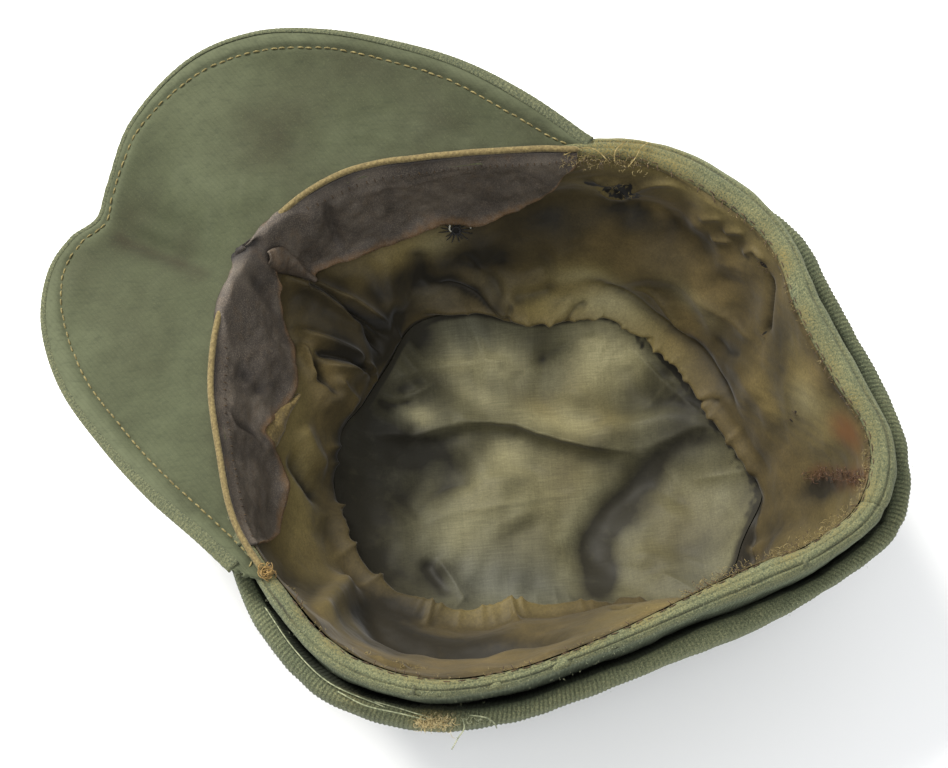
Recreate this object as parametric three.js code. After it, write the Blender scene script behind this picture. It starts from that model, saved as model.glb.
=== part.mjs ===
// Field cap of ribbed wool, lying upside down on its crown. Millimetres, +Z up.
//
// The origin is the middle of the crown top's flat outer face, which the cap lies on. The peak
// points to -Y. The wearer's right is +X, because the cap is upside down.
//
// Every soft wall is worked out from SECTIONS, a table of stations round the cap. A station's angle
// is 0 at the front, 90 at +X, 180 at the back and 270 at -X.

import * as THREE from 'three';
import { mergeVertices } from 'three/addons/utils/BufferGeometryUtils.js';

// ---------------------------------------------------------------- driving dimensions

const STEPS_ROUND = 68;
const GAP = 0.3;
const WOOL = 2.0;
const FLAP_CLOTH = 2.4;
const PEAK_THICKNESS = 4.0;
const PEAK_EDGE_THICKNESS = 2.0;
const LEATHER = 1.4;
const SATIN = 1.0;
const PIPING_RADIUS = 0.9;
const FOLD_DROP = 13;
const FLAP_SEAM_DROP = 26;
const GATHER_HEIGHT = 26;
const PUFF_HEIGHT = 40;
const FLOOR_HEIGHT = 9;
const CROWN_FOOT = 0.6;
const BACK_SEAM_ANGLE = 187;
const PEAK_START = -76;
const PEAK_END = 56;

// Stations round the cap, in degrees and millimetres.
// seam: radius of the seam between rim and lining. roll: width of the rolled rim.
// rim: height of the rim. flap: how far the turn-up's fold stands out past the roll.
// crown: radius of the flat crown top. waist: radius of the lining halfway down.
// gather: radius of the lining's gathered seam. edge: height of the turn-up's free edge.
const SECTIONS = [
  { angle: 0, seam: 102, roll: 2.2, rim: 77, flap: 4, crown: 84, waist: 85, gather: 60, edge: 32 },
  { angle: 8, seam: 100, roll: 2.2, rim: 78, flap: 4, crown: 83, waist: 79, gather: 63, edge: 31 },
  { angle: 15, seam: 98, roll: 2.2, rim: 79, flap: 4, crown: 82, waist: 80, gather: 64, edge: 30 },
  { angle: 30, seam: 94, roll: 2.2, rim: 83, flap: 4, crown: 80, waist: 83, gather: 64, edge: 27 },
  { angle: 45, seam: 94, roll: 2.2, rim: 87, flap: 4, crown: 78, waist: 86, gather: 64, edge: 24 },
  { angle: 60, seam: 92, roll: 6, rim: 90, flap: 5, crown: 77, waist: 84, gather: 61, edge: 23 },
  { angle: 75, seam: 92, roll: 7, rim: 91, flap: 6, crown: 75, waist: 80, gather: 54, edge: 22 },
  { angle: 90, seam: 87, roll: 7, rim: 91, flap: 6, crown: 71, waist: 73, gather: 50, edge: 22 },
  { angle: 105, seam: 79, roll: 8, rim: 90, flap: 7, crown: 65, waist: 64, gather: 47, edge: 22 },
  { angle: 120, seam: 72, roll: 8, rim: 88, flap: 6, crown: 60, waist: 58, gather: 47, edge: 22 },
  { angle: 135, seam: 69, roll: 8, rim: 87, flap: 6, crown: 58, waist: 56, gather: 49, edge: 22 },
  { angle: 150, seam: 70, roll: 9, rim: 86, flap: 5, crown: 60, waist: 58, gather: 53, edge: 22 },
  { angle: 165, seam: 77, roll: 8, rim: 85, flap: 6, crown: 66, waist: 66, gather: 60, edge: 22 },
  { angle: 176, seam: 88, roll: 6, rim: 84, flap: 5, crown: 73, waist: 77, gather: 67, edge: 22 },
  { angle: 187, seam: 97, roll: 6, rim: 84, flap: 7, crown: 78, waist: 86, gather: 72, edge: 22 },
  { angle: 198, seam: 95, roll: 10, rim: 85, flap: 6, crown: 79, waist: 85, gather: 74, edge: 22 },
  { angle: 210, seam: 87, roll: 11, rim: 86, flap: 7, crown: 77, waist: 76, gather: 65, edge: 22 },
  { angle: 225, seam: 84, roll: 9, rim: 88, flap: 7, crown: 74, waist: 73, gather: 59, edge: 22 },
  { angle: 240, seam: 88, roll: 7, rim: 89, flap: 7, crown: 73, waist: 75, gather: 58, edge: 22 },
  { angle: 255, seam: 87, roll: 10, rim: 90, flap: 4, crown: 73, waist: 76, gather: 57, edge: 22 },
  { angle: 270, seam: 86, roll: 9, rim: 91, flap: 4, crown: 72, waist: 75, gather: 56, edge: 22 },
  { angle: 285, seam: 82, roll: 4, rim: 91, flap: 4, crown: 71, waist: 74, gather: 50, edge: 23 },
  { angle: 300, seam: 82, roll: 2.2, rim: 90, flap: 4, crown: 72, waist: 77, gather: 54, edge: 25 },
  { angle: 315, seam: 87, roll: 2.2, rim: 87, flap: 4, crown: 75, waist: 82, gather: 63, edge: 27 },
  { angle: 330, seam: 97, roll: 2.2, rim: 83, flap: 4, crown: 80, waist: 86, gather: 64, edge: 30 },
  { angle: 345, seam: 102, roll: 2.2, rim: 79, flap: 4, crown: 84, waist: 93, gather: 60, edge: 31 },
];

// Rows up the crown side. up: share of the height. flare: share of the way from the crown's radius to
// the rim's. belly: how far the cloth swells out. thick: wall thickness as a share of the roll, where
// 0 is plain cloth. pull: how far the outer face draws in, as a share of the roll.
const WALL_ROWS = [
  { up: 0, flare: 0, belly: 0, thick: 0, pull: 0 },
  { up: 0.06, flare: 0.08, belly: 2.5, thick: 0, pull: 0 },
  { up: 0.2, flare: 0.22, belly: 4, thick: 0, pull: 0 },
  { up: 0.5, flare: 0.52, belly: 3, thick: 0, pull: 0 },
  { up: 0.8, flare: 0.9, belly: 1, thick: 0, pull: 0.1 },
  { up: 0.9, flare: 1, belly: 0, thick: 0.8, pull: 0.05 },
  { up: 0.96, flare: 1, belly: 0, thick: 1, pull: 0 },
  { up: 1, flare: 1, belly: 0, thick: 0.55, pull: 0.25 },
];

// The turn-up below its fold: height of the fold's rounding, drop to its shoulder, share of the drop
// by which it rests on the crown, and how loosely it rests there.
const FOLD_ROUND = 2;
const FLAP_SHOULDER = 7;
const FLAP_CLOSES = 0.83;
const FLAP_LOOSENESS = 1;

// Stations along the peak. angle: where its root meets the seam. x, y, z: the top of its edge there.
const PEAK_EDGE = [
  { angle: -76, x: -86, y: -20, z: 90 },
  { angle: -68, x: -92, y: -43, z: 92 },
  { angle: -58, x: -95, y: -66, z: 91 },
  { angle: -48, x: -94, y: -88, z: 89 },
  { angle: -39, x: -91, y: -111, z: 85 },
  { angle: -30, x: -84, y: -133, z: 79 },
  { angle: -22, x: -70, y: -150, z: 72 },
  { angle: -14, x: -47, y: -160, z: 63 },
  { angle: -8, x: -26, y: -159, z: 57 },
  { angle: -5, x: -16, y: -158, z: 54 },
  { angle: -1, x: -6, y: -162, z: 56 },
  { angle: 7, x: 9, y: -164, z: 57 },
  { angle: 15, x: 26, y: -158, z: 59 },
  { angle: 24, x: 42, y: -141, z: 63 },
  { angle: 34, x: 56, y: -119, z: 71 },
  { angle: 44, x: 67, y: -97, z: 79 },
  { angle: 52, x: 75, y: -76, z: 86 },
  { angle: 56, x: 80, y: -64, z: 89 },
];
const PEAK_STEPS = 31;
const PEAK_SHARES = [0, 0.15, 0.4, 0.65, 0.85, 0.95, 1];
const PEAK_CREASE_ANGLE = -5;
const PEAK_CREASE_DEPTH = 4;
const PEAK_CREASE_REACH = 5;

// The lining's side: its shoulder and waist as shares of the rim's height, and how far it puffs
// inwards above the gathered seam.
const LINING_ROWS = 7;
const LINING_SHOULDER = 0.84;
const LINING_WAIST = 0.65;
const PUFF = 2;

// How far the sweatband reaches down the lining, as a share of the lining's depth.
const BAND_REACH = [
  { angle: -75, reach: 0.12 },
  { angle: -66, reach: 0.32 },
  { angle: -56, reach: 0.5 },
  { angle: -30, reach: 0.5 },
  { angle: -12, reach: 0.52 },
  { angle: 10, reach: 0.5 },
  { angle: 30, reach: 0.48 },
  { angle: 46, reach: 0.44 },
  { angle: 56, reach: 0.15 },
];

const BAND_STEPS = 30;
const BAND_ROWS = 5;
const BAND_STANDOFF = 1;
const BAND_TURN = 2;
const BAND_LEAVES = 0.12;

// Folds of the lining's disc: a ridge runs from one end to the other through a middle point.
const FLOOR_FOLDS = [
  { from: [-34, -52], middle: [2, -28], to: [-8, 56], rise: 7, width: 9 },
  { from: [34, -30], middle: [30, 6], to: [24, 34], rise: 5, width: 8 },
];

// Shares of the way from the middle of the lining's disc to its edge, and the dish's steepness there.
const FLOOR_SHARES = [0, 0.25, 0.45, 0.65, 0.85, 1];
const FLOOR_STEEPNESS = 5;

const PIPING_SIDES = 6;
const PIPING_STEPS = 46;

const BUTTON_RADIUS = 6;
const BUTTON_THICKNESS = 3;
const BUTTON_ANGLE = 4;
const BUTTON_HEIGHTS = { turn_up_button_upper: 55, turn_up_button_lower: 41 };

// ---------------------------------------------------------------- interpolation

/** Smooth value of a column at a position, by cubic pieces through a table's rows. */
function smooth(rows, key, column, at) {
  let i = 0;
  while (i < rows.length - 2 && rows[i + 1][key] <= at) i += 1;
  const last = rows.length - 1;
  const [p0, p1, p2, p3] = [i - 1, i, i + 1, i + 2].map((k) => rows[Math.min(Math.max(k, 0), last)]);
  const span = p2[key] - p1[key];
  const t = THREE.MathUtils.clamp((at - p1[key]) / span, 0, 1);
  const slope = (a, b) => (b[key] === a[key] ? 0 : ((b[column] - a[column]) / (b[key] - a[key])) * span);
  const m1 = slope(p0, p2);
  const m2 = slope(p1, p3);
  const [t2, t3] = [t * t, t * t * t];
  const near = (2 * t3 - 3 * t2 + 1) * p1[column] + (t3 - 2 * t2 + t) * m1;
  const far = (3 * t2 - 2 * t3) * p2[column] + (t3 - t2) * m2;
  return near + far;
}

/** SECTIONS continued past both ends, so that any angle from -180 to 360 falls inside the rows. */
const RING = [-360, 0, 360].flatMap((turn) => SECTIONS.map((row) => ({ ...row, angle: row.angle + turn })));

/** Value of one column of SECTIONS at an angle. */
const around = (column, angle) => smooth(RING, 'angle', column, angle);

/** Point at an angle, a radius and a height. */
function polar(angle, radius, height) {
  const a = THREE.MathUtils.degToRad(angle);
  return new THREE.Vector3(radius * Math.sin(a), -radius * Math.cos(a), height);
}

/** Even values from first to last, with both ends. */
function spread(first, last, count) {
  return Array.from({ length: count }, (_, i) => first + ((last - first) * i) / (count - 1));
}

/** Even angles once round, without the last, which is the first again. */
const wholeTurn = (count) => spread(0, 360, count + 1).slice(0, -1);

// ---------------------------------------------------------------- closed bodies from two faces

/** Closed geometry between an outer and an inner grid of points with the same rows and columns. */
function slab(outer, inner, closed = false) {
  const corners = [];
  const triangle = (a, b, c) => {
    if (a.distanceTo(b) > 1e-4 && b.distanceTo(c) > 1e-4 && c.distanceTo(a) > 1e-4) corners.push(a, b, c);
  };
  const quad = (a, b, c, d) => {
    triangle(a, b, c);
    triangle(a, c, d);
  };
  const rows = outer.length;
  const last = outer[0].length - 1;
  for (let i = 0; i < (closed ? rows : rows - 1); i += 1) {
    const n = (i + 1) % rows;
    for (let k = 0; k < last; k += 1) {
      quad(outer[i][k], outer[n][k], outer[n][k + 1], outer[i][k + 1]);
      quad(inner[i][k], inner[i][k + 1], inner[n][k + 1], inner[n][k]);
    }
    quad(outer[n][0], outer[i][0], inner[i][0], inner[n][0]);
    quad(outer[i][last], outer[n][last], inner[n][last], inner[i][last]);
  }
  if (!closed) {
    const end = rows - 1;
    for (let k = 0; k < last; k += 1) {
      quad(outer[0][k], outer[0][k + 1], inner[0][k + 1], inner[0][k]);
      quad(outer[end][k + 1], outer[end][k], inner[end][k], inner[end][k + 1]);
    }
  }
  const geometry = new THREE.BufferGeometry().setFromPoints(corners);
  const merged = mergeVertices(geometry, 1e-4);
  merged.computeVertexNormals();
  return merged;
}

/** Slab whose two faces are given by a function of angle, which returns { outer, inner }. */
function bentSlab(angles, section, closed = false) {
  const sections = angles.map(section);
  return slab(
    sections.map((s) => s.outer),
    sections.map((s) => s.inner),
    closed,
  );
}

// ---------------------------------------------------------------- the crown and the turn-up

/** Outer and inner radius of the crown side at a station, with its height, for a row of WALL_ROWS. */
function wallRow(angle, row) {
  const crown = around('crown', angle);
  const roll = around('roll', angle);
  const rim = around('seam', angle) + roll;
  const outer = crown + (rim - crown) * row.flare + row.belly - row.pull * roll;
  const thickness = WOOL + (roll - WOOL) * row.thick;
  const height = CROWN_FOOT + (around('rim', angle) - CROWN_FOOT) * row.up;
  return { outer, inner: outer - thickness, height };
}

/** Outer radius of the crown side at any height. */
function wallRadius(angle, height) {
  const rows = WALL_ROWS.map((row) => wallRow(angle, row));
  return smooth(rows, 'height', 'outer', height);
}

function crownSide(first, last) {
  const angles = spread(first, last, STEPS_ROUND / 2 + 1);
  return bentSlab(angles, (angle) => {
    const rows = WALL_ROWS.map((row) => wallRow(angle, row));
    return {
      outer: rows.map((r) => polar(angle, r.outer, r.height)),
      inner: rows.map((r) => polar(angle, r.inner, r.height)),
    };
  });
}

function crownTop() {
  const outline = wholeTurn(STEPS_ROUND).map((angle) =>
    polar(angle, around('crown', angle) - WOOL - GAP, 0),
  );
  const shape = new THREE.Shape(outline.map((p) => new THREE.Vector2(p.x, p.y)));
  return new THREE.ExtrudeGeometry(shape, { depth: WOOL, bevelEnabled: false });
}

/** Radius of the turn-up's outer face at a height: out at the fold, resting on the crown further on. */
function flapRadius(angle, height, fold, edge, out) {
  const resting = wallRadius(angle, height) + GAP + FLAP_LOOSENESS + FLAP_CLOTH;
  const share = Math.min(1, (fold - height) / ((fold - edge) * FLAP_CLOSES));
  return Math.max(THREE.MathUtils.lerp(out, resting, share), resting);
}

/** Turn-up at a station: a short leg sewn to the crown, the fold, and the long leg to the free edge. */
function turnUpSection(angle) {
  const rim = around('rim', angle);
  const fold = rim - FOLD_DROP;
  const sewn = rim - FLAP_SEAM_DROP;
  const edge = around('edge', angle);
  const out = around('seam', angle) + around('roll', angle) + around('flap', angle);
  const foot = wallRadius(angle, sewn) + GAP;
  const root = wallRadius(angle, fold - FOLD_ROUND) + GAP;
  const middle = (root + out) / 2;
  const long = [fold - FLAP_SHOULDER, (fold + edge) / 2, edge];
  const hang = long.map((height) => flapRadius(angle, height, fold, edge, out));
  const slant = FLAP_CLOTH * 0.7;
  const outer = [
    polar(angle, foot, sewn),
    polar(angle, root, fold - FOLD_ROUND),
    polar(angle, middle, fold),
    polar(angle, out, fold - FOLD_ROUND),
    ...long.map((height, i) => polar(angle, hang[i], height)),
  ];
  const inner = [
    polar(angle, foot + slant, sewn),
    polar(angle, root + slant, fold - 2 * FOLD_ROUND),
    polar(angle, middle, fold - FLAP_CLOTH),
    polar(angle, out - slant, fold - 2 * FOLD_ROUND),
    ...long.map((height, i) => polar(angle, hang[i] - FLAP_CLOTH, height)),
  ];
  return { outer: outer.reverse(), inner: inner.reverse() };
}

function turnUp(first, last) {
  return bentSlab(spread(first, last, STEPS_ROUND / 2 + 1), turnUpSection);
}

// ---------------------------------------------------------------- the lining and the sweatband

/** Lining's visible face at a station, from the rim seam (0) to the gathered seam (1). */
function liningCurve(angle) {
  const [seam, waist, gather] = ['seam', 'waist', 'gather'].map((column) => around(column, angle));
  const rim = around('rim', angle);
  return new THREE.SplineCurve([
    new THREE.Vector2(seam - SATIN - 2 * GAP, rim - SATIN - GAP),
    new THREE.Vector2((seam + waist) / 2 + 0.5, rim * LINING_SHOULDER),
    new THREE.Vector2(waist, rim * LINING_WAIST),
    new THREE.Vector2((waist + gather) / 2 - PUFF, PUFF_HEIGHT),
    new THREE.Vector2(gather, GATHER_HEIGHT),
  ]);
}

function liningSide() {
  const angles = wholeTurn(STEPS_ROUND);
  return bentSlab(
    angles,
    (angle) => {
      const points = liningCurve(angle).getPoints(LINING_ROWS - 1).reverse();
      return {
        outer: points.map((p) => polar(angle, p.x + SATIN, p.y)),
        inner: points.map((p) => polar(angle, p.x, p.y)),
      };
    },
    true,
  );
}

/** Height of the lining's disc: a shallow dish with the ridges of FLOOR_FOLDS. */
function floorHeight(x, y, share) {
  let height = FLOOR_HEIGHT + (GATHER_HEIGHT + GAP - FLOOR_HEIGHT) * share ** FLOOR_STEEPNESS;
  for (const fold of FLOOR_FOLDS) {
    const ends = [fold.from, fold.middle, fold.to].map((p) => new THREE.Vector2(...p));
    const curve = new THREE.QuadraticBezierCurve(...ends);
    const distance = Math.min(...curve.getPoints(12).map((p) => Math.hypot(p.x - x, p.y - y)));
    height += fold.rise * (1 - share ** FLOOR_STEEPNESS) * Math.exp(-((distance / fold.width) ** 2));
  }
  return height;
}

function liningTop() {
  const angles = wholeTurn(STEPS_ROUND);
  return bentSlab(
    angles,
    (angle) => {
      const reach = around('gather', angle) - GAP;
      const points = FLOOR_SHARES.map((share) => {
        const p = polar(angle, reach * share, 0);
        return p.setZ(floorHeight(p.x, p.y, share));
      });
      return {
        outer: points.map((p) => p.clone().setZ(p.z - SATIN)),
        inner: points,
      };
    },
    true,
  );
}

function sweatband() {
  const angles = spread(BAND_REACH[0].angle, BAND_REACH[BAND_REACH.length - 1].angle, BAND_STEPS);
  return bentSlab(angles, (angle) => {
    const curve = liningCurve(angle);
    const reach = smooth(BAND_REACH, 'angle', 'reach', angle);
    const points = spread(reach, 0, BAND_ROWS).map((share) => {
      const p = curve.getPoint(share);
      const top = share === 0 ? BAND_TURN : 0;
      return new THREE.Vector2(p.x - GAP - BAND_STANDOFF * Math.min(1, share / BAND_LEAVES), p.y + top);
    });
    return {
      outer: points.map((p) => polar(angle, p.x, p.y)),
      inner: points.map((p) => polar(angle, p.x - LEATHER, p.y)),
    };
  });
}

/** Where the peak's root, the piping and the rim meet, at an angle. */
const rootRadius = (angle) => around('seam', angle) + around('roll', angle) + GAP;

function piping() {
  const route = spread(PEAK_START + 1, PEAK_END - 1, 24).map((angle) =>
    polar(angle, around('seam', angle) + PIPING_RADIUS, around('rim', angle) + GAP + PIPING_RADIUS),
  );
  const section = new THREE.Shape(
    wholeTurn(PIPING_SIDES)
      .map((turn) => polar(turn, PIPING_RADIUS, 0))
      .map((p) => new THREE.Vector2(p.x, p.y)),
  );
  const extrudePath = new THREE.CatmullRomCurve3(route);
  return new THREE.ExtrudeGeometry(section, { steps: PIPING_STEPS, extrudePath });
}

// ---------------------------------------------------------------- the peak and the buttons

function peak() {
  const angles = spread(PEAK_START, PEAK_END, PEAK_STEPS);
  return bentSlab(angles, (angle) => {
    const root = polar(angle, rootRadius(angle), around('rim', angle) - 0.5);
    const [x, y, z] = ['x', 'y', 'z'].map((column) => smooth(PEAK_EDGE, 'angle', column, angle));
    const edge = new THREE.Vector3(x, y, z);
    const crease = PEAK_CREASE_DEPTH * Math.exp(-Math.abs(angle - PEAK_CREASE_ANGLE) / PEAK_CREASE_REACH);
    const middles = PEAK_SHARES.map((share) => {
      const p = root.clone().lerp(edge, share);
      return p.setZ(p.z - PEAK_THICKNESS / 2 - crease * Math.sin(Math.PI * share));
    });
    const half = PEAK_SHARES.map((share) => (share === 1 ? PEAK_EDGE_THICKNESS : PEAK_THICKNESS) / 2);
    return {
      outer: middles.map((p, i) => p.clone().setZ(p.z - half[i])),
      inner: middles.map((p, i) => p.clone().setZ(p.z + half[i])),
    };
  });
}

function button() {
  const profile = [
    [0, 0],
    [BUTTON_RADIUS, 0],
    [BUTTON_RADIUS, BUTTON_THICKNESS * 0.5],
    [BUTTON_RADIUS * 0.8, BUTTON_THICKNESS * 0.85],
    [0, BUTTON_THICKNESS],
  ].map(([r, y]) => new THREE.Vector2(r, y));
  return new THREE.LatheGeometry(profile, 16);
}

/** Point on the turn-up's outer face at an angle and a height. */
function flapPoint(angle, height) {
  const cloth = turnUpSection(angle).outer.map((p) => ({ height: p.z, radius: Math.hypot(p.x, p.y) }));
  return polar(angle, smooth(cloth, 'height', 'radius', height), height);
}

/** Where a button's back lies: a plane just outside the cloth that it covers. */
function buttonSeat(height) {
  const halfTurn = THREE.MathUtils.radToDeg(BUTTON_RADIUS / around('seam', BUTTON_ANGLE));
  const angles = [-halfTurn, 0, halfTurn].map((turn) => BUTTON_ANGLE + turn);
  const heights = spread(height - BUTTON_RADIUS, height + BUTTON_RADIUS, 5);
  const covered = angles.flatMap((angle) => heights.map((z) => flapPoint(angle, z)));
  const sideways = covered[12].clone().sub(covered[2]);
  const upwards = covered[9].clone().sub(covered[5]);
  const normal = sideways.cross(upwards).normalize();
  const start = covered[7];
  const depths = covered.map((p) => p.clone().sub(start).dot(normal));
  return { normal, point: start.clone().addScaledVector(normal, Math.max(...depths) + GAP) };
}

// ---------------------------------------------------------------- materials and the scene

const material = (color, roughness) => new THREE.MeshStandardMaterial({ color, roughness, metalness: 0 });

const WOOL_GREEN = material(0x6d7760, 0.95);
const PEAK_GREEN = material(0x66724f, 0.9);
const BROWN_LEATHER = material(0x52443e, 0.6);
const PIPING_TAN = material(0x978456, 0.8);
const SATIN_BROWN = material(0x705f38, 0.6);
const SATIN_OLIVE = material(0x827d5c, 0.6);
const BUTTON_PAINT = material(0x5b6450, 0.5);

const cap = new THREE.Group();

function add(name, geometry, surface) {
  const mesh = new THREE.Mesh(geometry, surface.clone());
  mesh.name = name;
  cap.add(mesh);
  return mesh;
}

const SEAM_TURN = 0.1;
add('crown_top', crownTop(), WOOL_GREEN);
add('crown_side_right', crownSide(SEAM_TURN, BACK_SEAM_ANGLE - SEAM_TURN), WOOL_GREEN);
add('crown_side_left', crownSide(BACK_SEAM_ANGLE + SEAM_TURN, 360 - SEAM_TURN), WOOL_GREEN);
add('turn_up_right', turnUp(SEAM_TURN, BACK_SEAM_ANGLE - SEAM_TURN), WOOL_GREEN);
add('turn_up_left', turnUp(BACK_SEAM_ANGLE + SEAM_TURN, 360 - SEAM_TURN), WOOL_GREEN);
add('lining_side', liningSide(), SATIN_BROWN);
add('lining_top', liningTop(), SATIN_OLIVE);
add('sweatband', sweatband(), BROWN_LEATHER);
add('piping', piping(), PIPING_TAN);
add('peak', peak(), PEAK_GREEN);

for (const [name, height] of Object.entries(BUTTON_HEIGHTS)) {
  const seat = buttonSeat(height);
  const mesh = add(name, button(), BUTTON_PAINT);
  mesh.position.copy(seat.point);
  mesh.quaternion.setFromUnitVectors(new THREE.Vector3(0, 1, 0), seat.normal);
}

export default cap;
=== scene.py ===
"""Field cap of worn wool, lying upside down on its crown with its lining showing.

Every surface is worked out in millimetres in the part's own frame, and is turned to metres when its
mesh is made. +Z is up, the origin is the middle of the flat crown top, the peak points to -Y and the
wearer's right is +X. An angle round the cap is 0 at the front, 90 at +X, 180 at the back.
"""

import bpy
import numpy as np
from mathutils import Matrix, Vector


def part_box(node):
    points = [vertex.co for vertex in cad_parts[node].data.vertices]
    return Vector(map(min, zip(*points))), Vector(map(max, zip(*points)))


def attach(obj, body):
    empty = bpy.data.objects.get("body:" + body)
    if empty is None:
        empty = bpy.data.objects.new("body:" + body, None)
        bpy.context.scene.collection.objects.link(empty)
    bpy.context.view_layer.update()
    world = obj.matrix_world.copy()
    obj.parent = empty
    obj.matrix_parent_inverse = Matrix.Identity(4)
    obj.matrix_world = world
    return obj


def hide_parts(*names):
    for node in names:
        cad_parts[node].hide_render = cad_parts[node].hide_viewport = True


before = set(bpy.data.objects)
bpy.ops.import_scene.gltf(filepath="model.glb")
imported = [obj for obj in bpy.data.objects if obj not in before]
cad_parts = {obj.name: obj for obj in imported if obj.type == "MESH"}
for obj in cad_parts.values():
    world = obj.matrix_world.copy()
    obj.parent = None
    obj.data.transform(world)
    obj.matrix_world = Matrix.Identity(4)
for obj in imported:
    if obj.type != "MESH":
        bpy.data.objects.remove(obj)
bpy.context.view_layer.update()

MM = 0.001
UP = np.array([0, 0, 1.0])
random = np.random.default_rng(41)


# ---------------------------------------------------------------- tables of the cut


def table(names, *rows):
    """Columns of a table as arrays, by name."""
    return dict(zip(names.split(), np.array(rows, float).T))


# Stations round the cap, in degrees and millimetres. seam: radius of the seam between rim and lining.
# roll: width of the rolled rim. rim: its height. flap: how far the turn-up's fold stands out. crown:
# radius of the crown top. waist, gather: radii of the lining halfway down and at its gathered seam.
# edge: height of the turn-up's free edge.
SECTIONS = table(
    "angle seam roll rim flap crown waist gather edge",
    (0, 102, 2.2, 77, 4, 84, 85, 60, 32),
    (8, 100, 2.2, 78, 4, 83, 79, 63, 31),
    (15, 98, 2.2, 79, 4, 82, 80, 64, 30),
    (30, 94, 2.2, 83, 4, 80, 83, 64, 27),
    (45, 94, 2.2, 87, 4, 78, 86, 64, 24),
    (60, 92.3, 4.8, 90, 5.9, 77, 84, 61, 23),
    (75, 92.8, 5.2, 91, 7, 75, 80, 54, 22),
    (90, 88.6, 4.4, 91, 7.1, 71, 73, 50, 22),
    (105, 80.4, 3.8, 90, 8, 65, 64, 47, 22),
    (120, 73.2, 3, 88, 8, 60, 58, 47, 22),
    (135, 70, 3.6, 87, 7.8, 58, 56, 49, 22),
    (150, 70.8, 5.1, 86, 7.4, 60, 58, 53, 22),
    (165, 77, 7.6, 85, 7.1, 66, 66, 60, 22),
    (176, 88, 6.6, 84, 6.1, 73, 77, 66, 22),
    (187, 97.6, 6.8, 84, 6.2, 78, 86, 69, 22),
    (198, 97.8, 7, 85, 6.2, 79, 85, 71, 22),
    (210, 88.4, 8.3, 86, 8.3, 77, 76, 64, 22),
    (225, 84, 7.2, 88, 8.8, 74, 73, 59, 22),
    (240, 88, 6.6, 89, 6.6, 73, 75, 58, 22),
    (255, 87, 8.4, 90, 4.2, 73, 76, 57, 22),
    (270, 86, 7.2, 91, 3.8, 72, 75, 56, 22),
    (285, 82, 6, 91, 3, 71, 74, 50, 23),
    (300, 82, 2.2, 90, 4, 72, 77, 50, 25),
    (315, 87, 2.2, 87, 4, 75, 82, 58.5, 27),
    (330, 97, 2.2, 83, 4, 80, 86, 64, 30),
    (345, 102, 2.2, 79, 4, 84, 93, 60, 31),
)
RING = {name: np.tile(values, 3) for name, values in SECTIONS.items()}
RING["angle"] = np.concatenate([SECTIONS["angle"] + turn for turn in (-360, 0, 360)])

# Rows up the crown side. up: share of the height. flare: share of the way out from the crown top's
# radius to the rim's. belly: how far the cloth swells out, in millimetres.
WALL = table(
    "up flare belly",
    (0, 0, -1.4),
    (0.012, 0, 0),
    (0.06, 0.08, 2.2),
    (0.2, 0.22, 3.6),
    (0.5, 0.52, 2.6),
    (0.8, 0.9, 0.4),
    (0.9, 0.97, 0),
    (0.955, 1, 0),
)

# Stations along the peak: the angle where its root meets the seam, the top of its edge there, and how
# far inside the edge the topstitching runs.
PEAK = table(
    "angle x y z stitch",
    (-76, -86.6, -17.8, 90.6, 4.5),
    (-68, -92, -43, 92, 7),
    (-58, -95, -66, 91, 7),
    (-48, -94, -88, 89, 6),
    (-39, -91, -111, 85, 5.4),
    (-30, -84, -133, 79, 5.8),
    (-22, -70, -150, 72, 5.6),
    (-14, -47, -160, 63, 3.6),
    (-8, -26, -159, 57, 2.4),
    (-5, -16, -158, 54, 3.2),
    (-1, -6, -162, 56, 3.8),
    (7, 8, -163, 57, 5),
    (15, 25, -156.4, 59, 7.2),
    (24, 42, -141, 63, 7.6),
    (34, 56, -119, 71, 7.6),
    (44, 67, -97, 79, 7.4),
    (52, 75, -76, 86, 6.5),
    (56, 80, -64, 89, 3),
)

# Angle of the back seam, how far below the rim the turn-up is sewn on, heights of the lining's gathered
# seam and of its floor, and the pitch of the cords.
BACK_SEAM = 187
FLAP_SEAM_DROP = 26
GATHER_HEIGHT = 26
FLOOR_HEIGHT = 9
RIB = 1.4


# ---------------------------------------------------------------- curves, folds and soft bumps


def smooth(k, v, at):
    """Cubic through the values v at the places k: the slope at a place is that between its two
    neighbours, and each stretch is the cubic with the values and slopes of its ends."""
    last = len(k) - 1
    i = np.clip(np.searchsorted(k, at, side="right") - 1, 0, last - 1)
    before, after = np.maximum(i - 1, 0), np.minimum(i + 2, last)
    span = k[i + 1] - k[i]
    t = np.clip((at - k[i]) / span, 0, 1)
    m1 = (v[i + 1] - v[before]) / (k[i + 1] - k[before]) * span
    m2 = (v[after] - v[i]) / (k[after] - k[i]) * span
    near = (2 * t**3 - 3 * t**2 + 1) * v[i] + (t**3 - 2 * t**2 + t) * m1
    return near + (3 * t**2 - 2 * t**3) * v[i + 1] + (t**3 - t**2) * m2


def blend(k, at):
    """Weights of the values at the places k in the cubic of smooth, for each place asked for."""
    return np.stack([smooth(k, one, at) for one in np.eye(len(k))])


def around(column, angle):
    """Value of a column of SECTIONS at any angle from -360 to 720."""
    return smooth(RING["angle"], RING[column], angle)


def polar(angle, radius, height):
    """Points at an angle, a radius and a height: (r sin a, -r cos a, z)."""
    a = np.radians(angle)
    return np.stack(np.broadcast_arrays(radius * np.sin(a), -radius * np.cos(a), height), -1)


def rim_place(angle, out=0.0, up=0.0):
    """Place over the seam between rim and lining at an angle."""
    return polar(angle, around("seam", angle) + out, around("rim", angle) + up)


def wrap(angle):
    """Angle brought between -180 and 180."""
    return (angle + 180) % 360 - 180


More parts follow.
